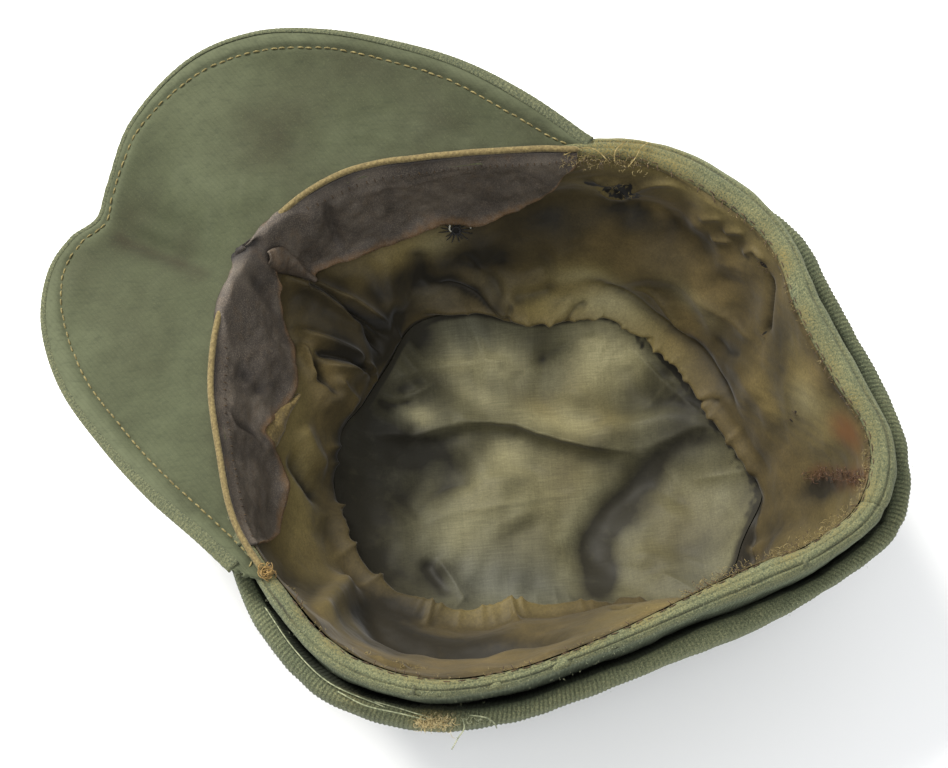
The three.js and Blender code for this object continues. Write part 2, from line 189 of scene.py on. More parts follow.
def ease(t):
    """Smooth step from 0 to 1: 3t² - 2t³ of t held between 0 and 1."""
    t = np.clip(t, 0, 1)
    return t * t * (3 - 2 * t)


def bell(x, middle, width, power=2):
    """Soft bump exp(-((x - middle)/width)^power)."""
    return np.exp(-(((x - middle) / width) ** power))


def spot(points, centre, size):
    """Soft round patch: the bell of the distance from a centre."""
    return bell(np.linalg.norm(points - np.array(centre, float), axis=-1), 0, size)


def unit(vectors):
    """Vectors made one long."""
    return vectors / np.maximum(np.linalg.norm(vectors, axis=-1, keepdims=True), 1e-9)


def runs(path):
    """Length of a path up to each of its points."""
    return np.concatenate([[0], np.cumsum(np.linalg.norm(np.diff(path, axis=0), axis=1))])


def rounded(path, steps):
    """Path of few points made a smooth one: cubic through the points, by share of its length."""
    p = np.array(path, float)
    length = runs(p)
    at = np.linspace(0, 1, steps)
    return np.stack([smooth(length / length[-1], column, at) for column in p.T], -1)


def beside(u, v, path):
    """Distance of points from a path, positive on its left, and the share of its length at the
    nearest place. Each straight piece gives its own nearest point, and the nearest of all is kept."""
    best, signed, share = np.full(u.shape, 1e9), np.zeros(u.shape), np.zeros(u.shape)
    for n, (a, b) in enumerate(zip(path[:-1], path[1:])):
        d = b - a
        t = np.clip(((u - a[0]) * d[0] + (v - a[1]) * d[1]) / (d @ d), 0, 1)
        du, dv = u - a[0] - t * d[0], v - a[1] - t * d[1]
        far = np.hypot(du, dv)
        closer = far < best
        best = np.where(closer, far, best)
        signed = np.where(closer, far * np.where(d[0] * dv - d[1] * du >= 0, 1, -1), signed)
        share = np.where(closer, (n + t) / (len(path) - 1), share)
    return signed, share


def crease(u, v, path, height, left, right=None, ends=0.25, sharp=False):
    """Fold in cloth: height times the bell of the distance d from the path, or for a sharp one the tent
    exp(-(√(d² + ¼) - ½)/w). The path is x and y in turn, and w is left or right by the side. The fold
    fades over a share of the path at each end."""
    signed, share = beside(u, v, rounded(np.reshape(path, (-1, 2)), 14))
    width = np.where(signed > 0, left, right or left)
    fade = ease(share / ends) * ease((1 - share) / ends)
    if sharp:
        return height * np.exp((0.5 - np.sqrt(signed**2 + 0.25)) / width) * fade
    return height * bell(signed, 0, width) * fade


def folds(u, v, rows, sharp=False, scale=(1, 1)):
    """Sum of the folds in a list: each is a path, a height, and a width or one for each side."""
    return sum(
        crease(u, v, np.reshape(path, (-1, 2)) * scale, height, *widths, sharp=sharp)
        for path, height, *widths in rows
    )


def ripples(points, size, seed, stretch=(1, 1, 1)):
    """Soft random bumps, mostly between -1 and 1: 20 waves of random direction and phase, with lengths
    near size, added up and divided by 6.3. stretch makes them longer along an axis."""
    r = np.random.default_rng(seed)
    way = r.normal(size=(20, 3))
    way /= np.linalg.norm(way, axis=1)[:, None] * r.uniform(0.7, 1.6, 20)[:, None]
    phase = r.uniform(0, 2 * np.pi, 20)
    p = points / (np.array(stretch, float) * size) * 2 * np.pi
    return sum(np.sin(p @ w + f) for w, f in zip(way, phase)) / 6.3


def pleats(angle, share, rise, *drawn):
    """Ridges that run in from a gathered seam, each with its angle, lean, height, width and length."""
    total = 0 * (angle + share)
    for where, lean, tall, wide, long in zip(*drawn):
        gap = wrap(angle - where - lean * (1 - share))
        total = total + tall * np.exp(-np.abs(gap / wide)) * ease((share - 1 + long) / rise)
    return total


def pressed_round(count):
    """Square grid pressed round by x·√(1 - y²/2): the angle of its points, and their share of the way
    out."""
    u, v = np.meshgrid(*[np.linspace(-1, 1, count)] * 2, indexing="ij")
    x, y = u * np.sqrt(1 - v * v / 2), v * np.sqrt(1 - u * u / 2)
    return np.degrees(np.arctan2(x, -y)), np.minimum(np.hypot(x, y), 1)


def normals(grid, closed=False):
    """Unit normals of a grid of points: the cross product of its steps along rows and columns."""
    along = np.roll(grid, -1, 0) - np.roll(grid, 1, 0) if closed else np.gradient(grid, axis=0)
    return unit(np.cross(along, np.gradient(grid, axis=1)))


# ---------------------------------------------------------------- meshes


def linear(code):
    """Linear colour of an sRGB hex code."""
    c = np.array([int(code[i : i + 2], 16) / 255 for i in (1, 3, 5)])
    c = np.where(c <= 0.04045, c / 12.92, ((c + 0.055) / 1.055) ** 2.4)
    return (*map(float, c), 1.0)


def quads(rows, columns, closed=False, flip=False):
    """Faces of a grid of points with that many rows and columns, joined up where it is closed."""
    i = np.arange(rows if closed else rows - 1)[:, None]
    j = np.arange(columns - 1)[None]
    n = (i + 1) % rows
    corners = [i * columns + j, n * columns + j, n * columns + j + 1, i * columns + j + 1]
    if flip:
        corners.reverse()
    return np.stack(np.broadcast_arrays(*corners), -1).reshape(-1, 4).tolist()


def make(name, points, material, replaces=(), faces=None, cloth=None, masks=(), wall=0):
    """Mesh object from points in millimetres, and faces unless they are a plain grid's. cloth holds each
    point's place on the flat cloth, in millimetres, masks named numbers from 0 to 1 for the points, and
    wall the thickness that a sheet gets on the side away from its faces."""
    mesh = bpy.data.meshes.new(name)
    faces = faces or quads(*np.shape(points)[:2])
    mesh.from_pydata((np.reshape(points, (-1, 3)) * MM).tolist(), [], faces)
    mesh.update()
    mesh.polygons.foreach_set("use_smooth", np.ones(len(mesh.polygons), bool))
    if cloth is not None:
        corner = np.empty(len(mesh.loops), int)
        mesh.loops.foreach_get("vertex_index", corner)
        flat = np.reshape(cloth, (-1, 2)) * MM
        layer = mesh.uv_layers.new(name="cloth")
        layer.data.foreach_set("uv", flat[corner].astype(np.float32).ravel())
    for mask, values in dict(masks).items():
        layer = mesh.attributes.new(mask, "FLOAT", "POINT")
        values = np.broadcast_to(values, np.shape(points)[:-1])
        layer.data.foreach_set("value", np.clip(values, 0, 1).astype(np.float32).ravel())
    piece = bpy.data.objects.new(name, mesh)
    bpy.context.scene.collection.objects.link(piece)
    mesh.materials.append(material)
    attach(piece, "root")
    for node in replaces:
        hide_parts(node)
    if wall:
        sheet = piece.modifiers.new("wall", "SOLIDIFY")
        sheet.thickness = wall * MM
        sheet.offset = -1


def threads(name, lines, radius, material, sides=6):
    """Many closed thin tubes as one piece. lines is (how many, points in each, 3). A ring of sides points
    stands round each point of a line, at the radius times cos and sin of its turn, in the plane across
    the line, and a single point closes each end."""
    count, steps = lines.shape[:2]
    along = unit(np.gradient(lines, axis=1))
    up = np.where(np.abs(along[..., 2:3]) > 0.9, np.array([1.0, 0, 0]), UP)
    across = unit(np.cross(along, up))
    lift = np.cross(across, along)
    turn = np.linspace(0, 2 * np.pi, sides, endpoint=False)[:, None]
    size = np.broadcast_to(radius, (count, steps))[..., None, None]
    ring = across[..., None, :] * np.cos(turn) + lift[..., None, :] * np.sin(turn)
    body = (lines[..., None, :] + size * ring).reshape(count, steps * sides, 3)
    points = np.concatenate([body, lines[:, :1], lines[:, -1:]], 1)
    i = np.arange(steps - 1)[:, None] * sides
    k = np.arange(sides)[None]
    n = (k + 1) % sides
    wall = np.stack(np.broadcast_arrays(i + k, i + sides + k, i + sides + n, i + n), -1).reshape(-1, 4)
    start, end, top = steps * sides, steps * sides + 1, (steps - 1) * sides
    first = np.stack([k[0], n[0], np.full(sides, start)], -1)
    last = np.stack([top + n[0], top + k[0], np.full(sides, end)], -1)
    base = np.arange(count)[:, None, None] * points.shape[1]
    faces = (wall + base).reshape(-1, 4).tolist()
    faces += (np.concatenate([first, last]) + base).reshape(-1, 3).tolist()
    make(name, points.reshape(-1, 3), material, faces=faces)


# ---------------------------------------------------------------- materials


def add(material, kind, inputs=(), out=0, stops=(), **settings):
    """Adds a node with its settings, ramp stops and inputs, and returns one of its outputs. inputs are
    in the order of the node's sockets, or go by their names or numbers. Each is a value or an output."""
    tree = material.node_tree
    new = tree.nodes.new("ShaderNode" + kind)
    for name, value in settings.items():
        setattr(new, name, value)
    for n, (place, colour) in enumerate(stops):
        if n >= len(new.color_ramp.elements):
            new.color_ramp.elements.new(place)
        new.color_ramp.elements[n].position = place
        new.color_ramp.elements[n].color = linear(colour)
    for name, value in (inputs if isinstance(inputs, dict) else dict(enumerate(inputs))).items():
        if isinstance(value, bpy.types.NodeSocket):
            tree.links.new(value, new.inputs[name])
        else:
            new.inputs[name].default_value = value
    return new.outputs[out] if len(new.outputs) else new


def per(size):
    """Scale of a noise whose grains are size millimetres across."""
    return 1 / (size * MM)


def bands(spacing):
    """Scale of a wave texture whose bands stand spacing millimetres apart."""
    return 2 * np.pi / (20 * spacing * MM)


def start(name, noises, *masks):
    """New material, with the place in the part's frame, a noise for each size in millimetres, detail,
    roughness and distortion, and the painted masks."""
    material = bpy.data.materials.new(name)
    material.use_nodes = True
    material.node_tree.nodes.clear()
    place = add(material, "TexCoord", out="Object")
    names = "Vector", "Scale", "Detail", "Roughness", "Distortion"
    grains = [dict(zip(names, (place, per(size), *rest))) for size, *rest in noises]
    grains = [add(material, "TexNoise", inputs) for inputs in grains]
    return material, place, *grains, *(add(material, "Attribute", out="Fac", attribute_name=k) for k in masks)


def finish(material, colour, layers, bumps, **shader):
    """Lays layers over a colour, each an amount and a hex code, or a tone to multiply by, gives the
    surface its bumps, each a height, a distance in millimetres and a strength, and ends the material with
    its surface shader, whose constant inputs are set on its own sockets."""
    for amount, over in layers:
        kind, over = ("MIX", linear(over)) if isinstance(over, str) else ("MULTIPLY", over)
        colour = add(material, "Mix", {0: amount, 6: colour, 7: over}, blend_type=kind, **COLOURS)
    normal = {}
    for height, distance, strength in bumps:
        inputs = {"Height": height, "Distance": distance * MM, "Strength": strength}
        normal = {"Normal": add(material, "Bump", inputs | normal)}
    inputs = {"Base Color": colour} | normal
    inputs |= {name.replace("_", " "): value for name, value in shader.items()}
    surface = add(material, "BsdfPrincipled", inputs)
    add(material, "OutputMaterial", {"Surface": surface})
    return material


COLOURS = {"out": 2, "data_type": "RGBA"}
TIMES = {"operation": "MULTIPLY"}
STRAIGHT = {"wave_type": "BANDS", "bands_direction": "X"}


def ribbed_wool():
    """Fulled wool whipcord: matt, hairy, with cords across the edge and painted shade between the cords,
    rubbed pale and yellowish where hands and tables touch it. The pale layer also paints light on the
    turn-up's near side, and the dark layer also paints shade on the roll's outer lip and in the gap
    under the turn-up's fold."""
    # Matted fibres show as flecks about half a millimetre long.
    noises = (0.45, 2.5, 0.7), (17, 3, 0.6)
    painted = "worn_and_lit", "corded", "grime_and_shade", "dusty"
    m, _, fibre, cloud, worn_and_lit, corded, grime_and_shade, dusty = start("Wool whipcord", noises, *painted)
    # Cords stand RIB millimetres apart, which is two or three times the real pitch, so that they show.
    flat = add(m, "UVMap", uv_map="cloth")
    cords = {"Vector": flat, "Scale": bands(RIB), "Distortion": 0.5, "Detail": 1.5, "Detail Scale": 2}
    cord = add(m, "TexWave", cords, "Fac", **STRAIGHT)
    wool = add(m, "ValToRGB", (fibre,), stops=[(0.3, "#262d26"), (0.5, "#434a39"), (0.7, "#626851")])
    rubbed = add(m, "ValToRGB", (fibre,), stops=[(0.3, "#3d4334"), (0.52, "#65684c"), (0.72, "#8e8b65")])
    wear = add(m, "Math", (worn_and_lit, add(m, "MapRange", (cloud, 0.3, 0.65, 0.5, 1))), **TIMES)
    colour = add(m, "Mix", {0: wear, 6: wool, 7: rubbed}, **COLOURS)
    # Painted shade between the cords: the tone falls by up to 0.6 times the corded mask in their hollows.
    depth = add(m, "Math", (add(m, "MapRange", (cord, 0.1, 0.75, 0.6, 0)), corded), **TIMES)
    between = add(m, "Math", (1, depth), operation="SUBTRACT")
    grey = add(m, "CombineColor", [between] * 3)
    dust = add(m, "Math", (dusty, add(m, "MapRange", (fibre, 0.35, 0.6))), **TIMES)
    # The dark layer carries both grime and painted shade, as each piece's mask gives it.
    layers = (1, grey), (grime_and_shade, "#1d191e"), (dust, "#6f6238")
    bumps = (add(m, "Math", (cord, corded), **TIMES), 0.5, 0.9), (fibre, 0.35, 0.8)
    sheen = {"Sheen_Weight": 0.25, "Sheen_Roughness": 0.6, "Sheen_Tint": linear("#a7b194")}
    return finish(m, colour, layers, bumps, Roughness=0.95, Specular_IOR_Level=0.2, **sheen)


def smooth_wool():
    """Fulled facing cloth of the peak: matt with a short nap, its green fading unevenly to grey, browned in
    cloudy patches by sweat and handling. The pale layer also paints light on the peak's near half, and
    the brown one also paints shade along the crease from the notch."""
    noises = (0.5, 2, 0.6), (26, 4, 0.6, 0.4), (7, 3, 0.6)
    m, place, fibre, cloud, mottle, faded_and_lit, grime_and_shade = start("Fulled wool facing", noises, "faded_and_lit", "grime_and_shade")
    # The nap lies along the cloth's length, drawn 1 mm wide so that it shows. The twill under it shows
    # faintly, its diagonals 1.3 mm apart, twice the real pitch.
    along, slant = (
        add(m, "Mapping", {"Vector": place, "Scale": scale, "Rotation": (0, 0, turn)}, vector_type="TEXTURE")
        for scale, turn in (((1, 7, 1), np.radians(20)), ((1, 1, 1), np.radians(-28)))
    )
    nap = add(m, "TexNoise", {"Vector": along, "Scale": per(1.1), "Detail": 2, "Roughness": 0.6})
    lines = {"Vector": slant, "Scale": bands(1.3), "Distortion": 0.8, "Detail": 1}
    twill = add(m, "TexWave", lines, "Fac", **STRAIGHT)
    blotch, uneven, light, groove, dark = (
        add(m, "MapRange", span)
        for span in (
            (mottle, 0.35, 0.7, 0, 0.25),
            (mottle, 0.2, 0.8, 0.7, 1.2),
            (fibre, 0.55, 0.8, 0, 0.3),
            (twill, 0, 0.4, 0.2, 0),
            (nap, 0.25, 0.5, 0.28, 0),
        )
    )
    colour = add(m, "ValToRGB", (cloud,), stops=[(0.25, "#353825"), (0.5, "#3f432e"), (0.75, "#4b4f3a")])
    layers = (
        (faded_and_lit, "#525640"),
        (blotch, "#2d3021"),
        (add(m, "Math", (grime_and_shade, uneven), **TIMES), "#2b271a"),
        (light, "#5a5d41"),
        (add(m, "Math", (groove, mottle), **TIMES), "#1e2419"),
        (dark, "#23281c"),
    )
    sheen = {"Sheen_Weight": 0.2, "Sheen_Roughness": 0.5, "Sheen_Tint": linear("#8c9779")}
    bumps = (nap, 0.14, 0.6), (fibre, 0.16, 0.6)
    return finish(m, colour, layers, bumps, Roughness=0.9, Specular_IOR_Level=0.25, **sheen)


def satin(name, ground, shade, pale, weft, warp, turn):
    """Rubbed old rayon satin: a low sheen, fine slubs where a weft thread runs thick, sweat marks with soft
    edges, greyed, paled and yellowed patches, rust and holes rubbed through. The darkening also paints
    shade in creases, crevices and shaded places, and where its strength is negative it paints
    highlights; the grey partly paints the neutral tone of shade, the paling partly paints highlights on
    lit folds, and the holes are painted near black, as the shade seen through them. weft and warp say
    how much longer than thick a thread's marks are along each axis, and turn is the weft's direction
    in degrees."""
    noises = (22, 3, 0.55, 0.2), (5, 3, 0.65), (0.45, 1.5, 0.7)
    painted = "grey", "yellow", "lightened", "rust", "grime_and_shade", "hole"
    m, place, cloud, mottle, grain, grey, yellow, lightened, rusty, grime_and_shade, gone = start(name, noises, *painted)
    # Threads are drawn 0.5 mm wide, coarser than the real 0.2, so that they show.
    laid = {"Vector": place, "Rotation": (0, 0, np.radians(turn))}
    weft, warp = (add(m, "Mapping", laid | {"Scale": s}, vector_type="TEXTURE") for s in (weft, warp))
    thread = add(m, "TexNoise", {"Vector": weft, "Scale": per(0.5), "Roughness": 0.65})
    cross = add(m, "TexNoise", {"Vector": warp, "Scale": per(0.5), "Detail": 1})
    line, over, fleck, uneven = (
        add(m, "MapRange", span)
        for span in (
            (thread, 0.3, 0.7, 0.84, 1.12),
            (cross, 0.3, 0.7, 0.93, 1.06),
            (grain, 0.25, 0.75, 0.86, 1.14),
            (mottle, 0.3, 0.7, 0.88, 1.1),
        )
    )
    weave = add(m, "Math", (add(m, "Math", (line, over), **TIMES), fleck), **TIMES)
    rust = add(m, "MapRange", (add(m, "Math", (rusty, uneven), **TIMES), 0.15, 0.9, 0, 0.85))
    # Sweat marks and painted shade, made uneven by the mottle.
    soil_and_shade = add(m, "MapRange", (add(m, "Math", (grime_and_shade, uneven), **TIMES), 0.05, 0.95, 0, 0.92))
    colour = add(m, "ValToRGB", (cloud,), stops=[(0.28, shade), (0.5, ground), (0.75, pale)])
    # Grey partly paints shade's neutral tone, the paler layer partly paints highlights, and holes are painted
    # near black as shade.
    layers = (
        (grey, "#4d4e45"),
        (yellow, "#71643a"),
        (lightened, "#958e69"),
        (1, add(m, "CombineColor", [weave] * 3)),
        (rust, "#5a3a1c"),
        (soil_and_shade, "#15120a"),
        (add(m, "MapRange", (gone, 0.45, 0.6, 0, 0.97)), "#090806"),
    )
    bumps = (thread, 0.08, 0.5), (mottle, 0.3, 0.15)
    return finish(m, colour, layers, bumps, Roughness=0.62, Specular_IOR_Level=0.2, Sheen_Weight=0.08)


def sweat_leather():
    """Thin vegetable-tanned sheepskin: dyed purple brown, sweated dark, rubbed rusty at its edges, with
    a pebbled grain and fine creases. The dark layer also paints shade in the creases and the slit."""
    noises = (13, 4, 0.6, 0.5), (3, 3, 0.6), (0.35, 2, 0.7)
    name = "Vegetable tanned leather"
    m, place, cloud, mottle, grain, rubbed, grime_and_shade = start(name, noises, "rubbed", "grime_and_shade")
    # Pebbles of the grain are 0.7 mm across, a little more than sheepskin's, so that they show.
    pores = {"Vector": place, "Scale": per(0.7), "Randomness": 1}
    pebble = add(m, "TexVoronoi", pores, "Distance", feature="DISTANCE_TO_EDGE")
    warm, uneven, light, dark = (
        add(m, "MapRange", span)
        for span in (
            (mottle, 0.5, 0.72, 0, 0.25),
            (mottle, 0.3, 0.7, 0.5, 1.3),
            (grain, 0.48, 0.72, 0, 0.65),
            (grain, 0.2, 0.45, 0.35, 0),
        )
    )
    edge = add(m, "MapRange", (add(m, "Math", (rubbed, uneven), **TIMES), 0.2, 0.95, 0, 0.75))
    colour = add(m, "ValToRGB", (cloud,), stops=[(0.28, "#35302b"), (0.5, "#48413a"), (0.72, "#595147")])
    codes = "#564531", "#6a4f31", "#7a6f60", "#241f1f", "#171412"
    layers = zip((warm, edge, light, dark, grime_and_shade), codes)
    bumps = (pebble, 0.25, 0.35), (mottle, 0.5, 0.4)
    return finish(m, colour, layers, bumps, Roughness=0.66, Specular_IOR_Level=0.28)


def plain(name, stops, size, roughness):
    """Small stuff of one colour, flecked by noise of a size in millimetres."""
    m, _, fleck = start(name, [(size, 2.5, 0.6)])
    colour = add(m, "ValToRGB", (fleck,), stops=list(zip((0.28, 0.5, 0.74), stops)))
    look = {"Roughness": roughness, "Specular_IOR_Level": 0.3, "Sheen_Weight": 0.1}
    return finish(m, colour, (), [(fleck, 0.25, 0.6)], **look)


WOOL = ribbed_wool()
FACING = smooth_wool()
BROWNED = ("#493e23", "#362d18", "#60512f")
OLIVE = ("#504c35", "#3c3929", "#625f47")
WALL_SATIN = satin("Rayon satin browned by wear", *BROWNED, (2, 2, 1), (1, 1, 2.5), 0)
DISC_SATIN = satin("Rayon satin olive grey", *OLIVE, (26, 1, 1), (1, 18, 18), 118)
LEATHER = sweat_leather()
FLESH = plain("Leather flesh side", ("#453a20", "#61522f", "#7c6a3e"), 0.7, 0.85)
CORD = plain("Cotton piping", ("#504428", "#675936", "#7e6f46"), 0.8, 0.8)
PEAK_THREAD = plain("Linen thread dulled", ("#4a4327", "#70653c", "#8f8152"), 0.8, 0.75)
DARK_THREAD = plain("Linen thread soiled", ("#281d14", "#40301c", "#634d2d"), 0.8, 0.7)
PALE_THREAD = plain("Linen thread pale", ("#7d7a6c", "#b5b2a2", "#dcd9c8"), 0.8, 0.6)
KNOT = plain("Unravelled piping", ("#54401f", "#7d6334", "#a3864f"), 0.9, 0.8)
BLACK_THREAD = plain("Linen thread black", ("#0d0c0b", "#171614", "#272421"), 0.8, 0.6)
FRAY = plain("Frayed satin threads", ("#5a4a27", "#7f6f40", "#a8976a"), 1.2, 0.7)
PALE_FRAY = plain("Frayed satin threads bleached", ("#84724a", "#ae9c6b", "#cdc096"), 1.2, 0.7)
RUST_THREAD = plain("Rusted satin threads", ("#2a1c10", "#4a2f19", "#6b4b2a"), 1.0, 0.8)
WOOL_FUZZ = plain("Loose wool fibres", ("#525a44", "#85896a", "#afb08c"), 1.2, 0.8)
BUTTON = plain("Painted zinc", ("#383d33", "#474d40", "#626251"), 0.6, 0.6)


# ---------------------------------------------------------------- the crown


def wall_radius(angle, height):
    """Radius of the crown side's outer face at a height: its rows by share of the rim's height, each at
    crown + (rim radius - crown) · flare + belly."""
    share = height / around("rim", angle)
    crown = around("crown", angle)
    out = around("seam", angle) + around("roll", angle)
    flare, belly = (smooth(WALL["up"], WALL[column], share) for column in ("flare", "belly"))
    return crown + (out - crown) * flare + belly


def crown_side(name, first, last):
    """Outer face up the wall, then over the rolled rim and down to the lining's seam. The roll is a
    flattened half circle, 1 - |2s - 1|^2.3 to the power 0.6 of the share s across it, with two soft
    pressed grooves along it, and it shrinks where it is thin and sinks under the sweatband."""
    up, across = 24, 27
    angles = np.linspace(first, last, 380)[:, None]
    rise, over = np.linspace(0, 1, up)[None], np.linspace(0, 1, across)[None]
    rim, seam, roll = (around(column, angles) for column in ("rim", "seam", "roll"))
    height = 0.3 + (rim - 3.9) * rise**0.85
    wall = polar(angles, wall_radius(angles, height), height)
    tube = 3.5 * np.clip(1 - np.abs(2 * over - 1) ** 2.3, 0, 1) ** 0.6 + 0.5 * over
    pressed = 0.75 * bell(over, 0.3, 0.05) + 0.35 * bell(over, 0.62, 0.05)
    top = (tube - pressed) * (0.45 + 0.55 * np.clip(roll / 7, 0.3, 1))
    reach = (roll + 1.2) * (1 - over) - 1.2
    sunk = ease((62 - np.abs(wrap(angles + 13))) / 6) * (0.9 + 0.9 * bell(angles, 304, 13, 4))
    grid = np.concatenate([wall, polar(angles, seam + reach, rim - 3.1 - sunk + top)], 1)
    column = np.arange(grid.shape[1])[None]
    on_roll, outer = ease((column - up + 1) / 3), (column - up) / (across - 1)
    soft = (0.3 * ripples(grid, 26, 3) + 0.18 * ripples(grid, 7, 4)) * ease(column / 9)
    dents = 1.3 * ripples(grid, 38, 5, (1, 1, 2.2)) * ease(column / 8) * ease((up - 2 - column) / 8)
    grid = grid + normals(grid) * (soft + dents - 0.35 * bell(angles, BACK_SEAM, 0.9))[..., None]
    grid[..., 2] = np.maximum(grid[..., 2], 0.15)
    arc = np.radians(angles) * 90 + 0 * column
    # Darker along the first pressed groove of the roll.
    grime_and_shade = 0.35 * bell(outer, 0.3, 0.05) * on_roll * (1 + ripples(grid, 16, 7))
    dusty = (0.2 + 0.6 * ease((outer - 0.35) / 0.6)) * (0.75 + 0.5 * ripples(grid, 12, 8))
    masks = {
        "worn_and_lit": 0.2 + (0.65 + 0.25 * bell(angles, 125, 45, 4)) * on_roll,
        # Also darker down the wall towards the crown top, and painted shade on the roll's outer lip beside
        # the wall.
        "grime_and_shade": grime_and_shade + 0.3 * ease((up - 4 - column) / 20) + 0.5 * on_roll * ease((0.1 - outer) / 0.12),
        "dusty": on_roll * (dusty + 0.8 * spot(grid, (-86, -6, 90), 15)),
        "corded": 0.45 - 0.32 * on_roll,
    }
    cloth = np.stack([arc, runs(grid[len(grid) // 2]) + 0 * arc], -1)
    make(name + "_cloth", grid, WOOL, [name], cloth=cloth, masks=masks, wall=1.7)


def crown_top():
    """Flat top in the same cloth: the disc under the crown, with a low swell between the floor and its
    sewn edge."""
    angle, share = pressed_round(60)
    reach = (around("crown", angle) - 2.2) * share
    swell = 0.25 * (1 + ripples(polar(angle, reach, 0), 30, 11)) * share
    grid = polar(angle, reach, np.maximum(1.1 - 1.05 * ease((1 - share) * 9) + swell, 0))
    grime_and_shade = 0.25 * ease((share - 0.9) * 10)
    masks = {"worn_and_lit": 0.35 + 0.3 * ripples(grid, 30, 12), "grime_and_shade": grime_and_shade, "corded": 0.6}
    faces = quads(*share.shape, flip=True)
    make("crown_top_cloth", grid, WOOL, ["crown_top"], faces, grid[..., :2], masks, wall=1.6)


def fold_drop(angle):
    """How far the turn-up's fold lies below the rim: 9 mm on the wearer's right, 14 on the left."""
    return 11.5 - 2.5 * np.sin(np.radians(angle))


def fold_out(angle):
    """Radius of the turn-up's fold at its widest."""
    return around("seam", angle) + around("roll", angle) + around("flap", angle)


def turn_up(name, first, last):
    """Turned-up band: from its free edge up the outside, over the fold and down its inner leg to the
    seam. The outer face is corded: cords RIB apart stand out by their cosine. Its rows stand a quarter
    of RIB apart along the fold."""
    fine_angle = np.linspace(first, last, 2000)
    girth = runs(polar(fine_angle, fold_out(fine_angle), 0))
    arc = np.arange(0, girth[-1], RIB / 4)
    angles = np.interp(arc, girth, fine_angle)[:, None]
    rim = around("rim", angles)
    fold, sewn, edge = rim - fold_drop(angles), rim - FLAP_SEAM_DROP, around("edge", angles)
    out = fold_out(angles)
    rest = [wall_radius(angles, h) + 3.4 for h in (edge, (edge + fold) / 2, fold - 9)]
    drop = [np.maximum(out + (r - out) * k, r) for r, k in zip(rest, (1, 0.62, 0.12))]
    root = wall_radius(angles, fold - 4) + 0.7
    # Share of the way across the band, radius and height.
    stations = (
        (0, drop[0] - 0.9, edge - 0.2),
        (0.05, drop[0], edge + 1.4),
        (0.3, drop[1], (edge + fold) / 2),
        (0.52, drop[2], fold - 9),
        (0.64, out, fold - 3.4),
        (0.7, out - 0.6, fold - 1.1),
        (0.76, out - 2.3, fold),
        (0.83, np.maximum(out - 4.9, root), fold - 0.7),
        (0.9, np.maximum(out - 6.0, root), fold - 4),
        (1, wall_radius(angles, sewn) - 1.6, sewn),
    )
    at, radius, height = zip(*stations)
    fine = np.concatenate([[0, 0.025, 0.05], np.linspace(0.12, 0.56, 5), np.linspace(0.62, 0.9, 10), [1]])
    weights = blend(np.array(at), fine)
    grid = polar(angles, np.concatenate(radius, 1) @ weights, np.concatenate(height, 1) @ weights)
    arc = arc[:, None] + 0 * fine
    cord = 0.16 * np.cos(2 * np.pi * arc / RIB) * ease(fine * 20) * ease((0.93 - fine) * 12)
    waves = 0.5 * ripples(grid, 34, 21, (1, 1, 3)) + 0.25 * ripples(grid, 9, 22)
    grid = grid + normals(grid) * (cord + waves - 0.4 * bell(angles, BACK_SEAM, 0.9))[..., None]
    worn_and_lit = (0.75 + 0.25 * bell(wrap(angles), 118, 52, 4)) * bell(fine, 0.72, 0.1) + 0.3 * bell(fine, 0, 0.05)
    masks = {
        # Painted light: the band's near side, round 152 degrees, is made paler.
        "worn_and_lit": worn_and_lit + 0.15 + 0.55 * bell(angles, 152, 32, 4),
        # Painted shade on the inner leg, in the gap under the fold.
        "grime_and_shade": 0.85 * ease((fine - 0.85) / 0.06) + 0.3 * spot(grid, (-86, -6, 90), 14),
        "dusty": 0.9 * spot(grid, polar(94, 95, 80), 6) + 0.5 * spot(grid, polar(80, 97, 81), 6),
        # Less painted shade between the cords on the near side, with the painted light there.
        "corded": 0.7 - 0.35 * bell(angles, 152, 28, 4),
    }
    cloth = np.stack([arc, runs(grid[300]) + 0 * arc], -1)
    make(name + "_cloth", grid, WOOL, [name], cloth=cloth, masks=masks, wall=1.6)


crown_side("crown_side_right", 0, BACK_SEAM)
crown_side("crown_side_left", BACK_SEAM, 360)
crown_top()
turn_up("turn_up_right", 1.5, BACK_SEAM)
turn_up("turn_up_left", BACK_SEAM, 358.5)


# ---------------------------------------------------------------- the peak


def peak_edge(angle):
    """Root and edge of the peak at angles; the edge lies 1.2 mm inside its stations, and the outer
    cloth carried round it makes that up."""
    edge = np.stack([smooth(PEAK["angle"], PEAK[axis], angle) for axis in "xyz"], -1)
    root = rim_place(angle, 0.5 * around("roll", angle) + 0.3, -0.5)
    way = edge - root
    return root, edge - 1.2 * way / np.maximum(np.linalg.norm(way, axis=-1, keepdims=True), 3)


# The facing's grid: straight across from root to edge, the angle of each point, the share of the way
# out, and the distance from the edge.
PEAK_ENDS = (-76, 56)
PEAK_GRID = (240, 80)
angle, share = np.meshgrid(*map(np.linspace, (PEAK_ENDS[0], 0), (PEAK_ENDS[1], 1), PEAK_GRID), indexing="ij")
root, edge = peak_edge(angle)
grid = root + (edge - root) * share[..., None]
gap = np.min([np.linalg.norm(grid - rim, axis=-1) for rim in edge[:, 0]], 0)
stitch = smooth(PEAK["angle"], PEAK["stitch"], angle)
x, y = grid[..., 0], grid[..., 1]

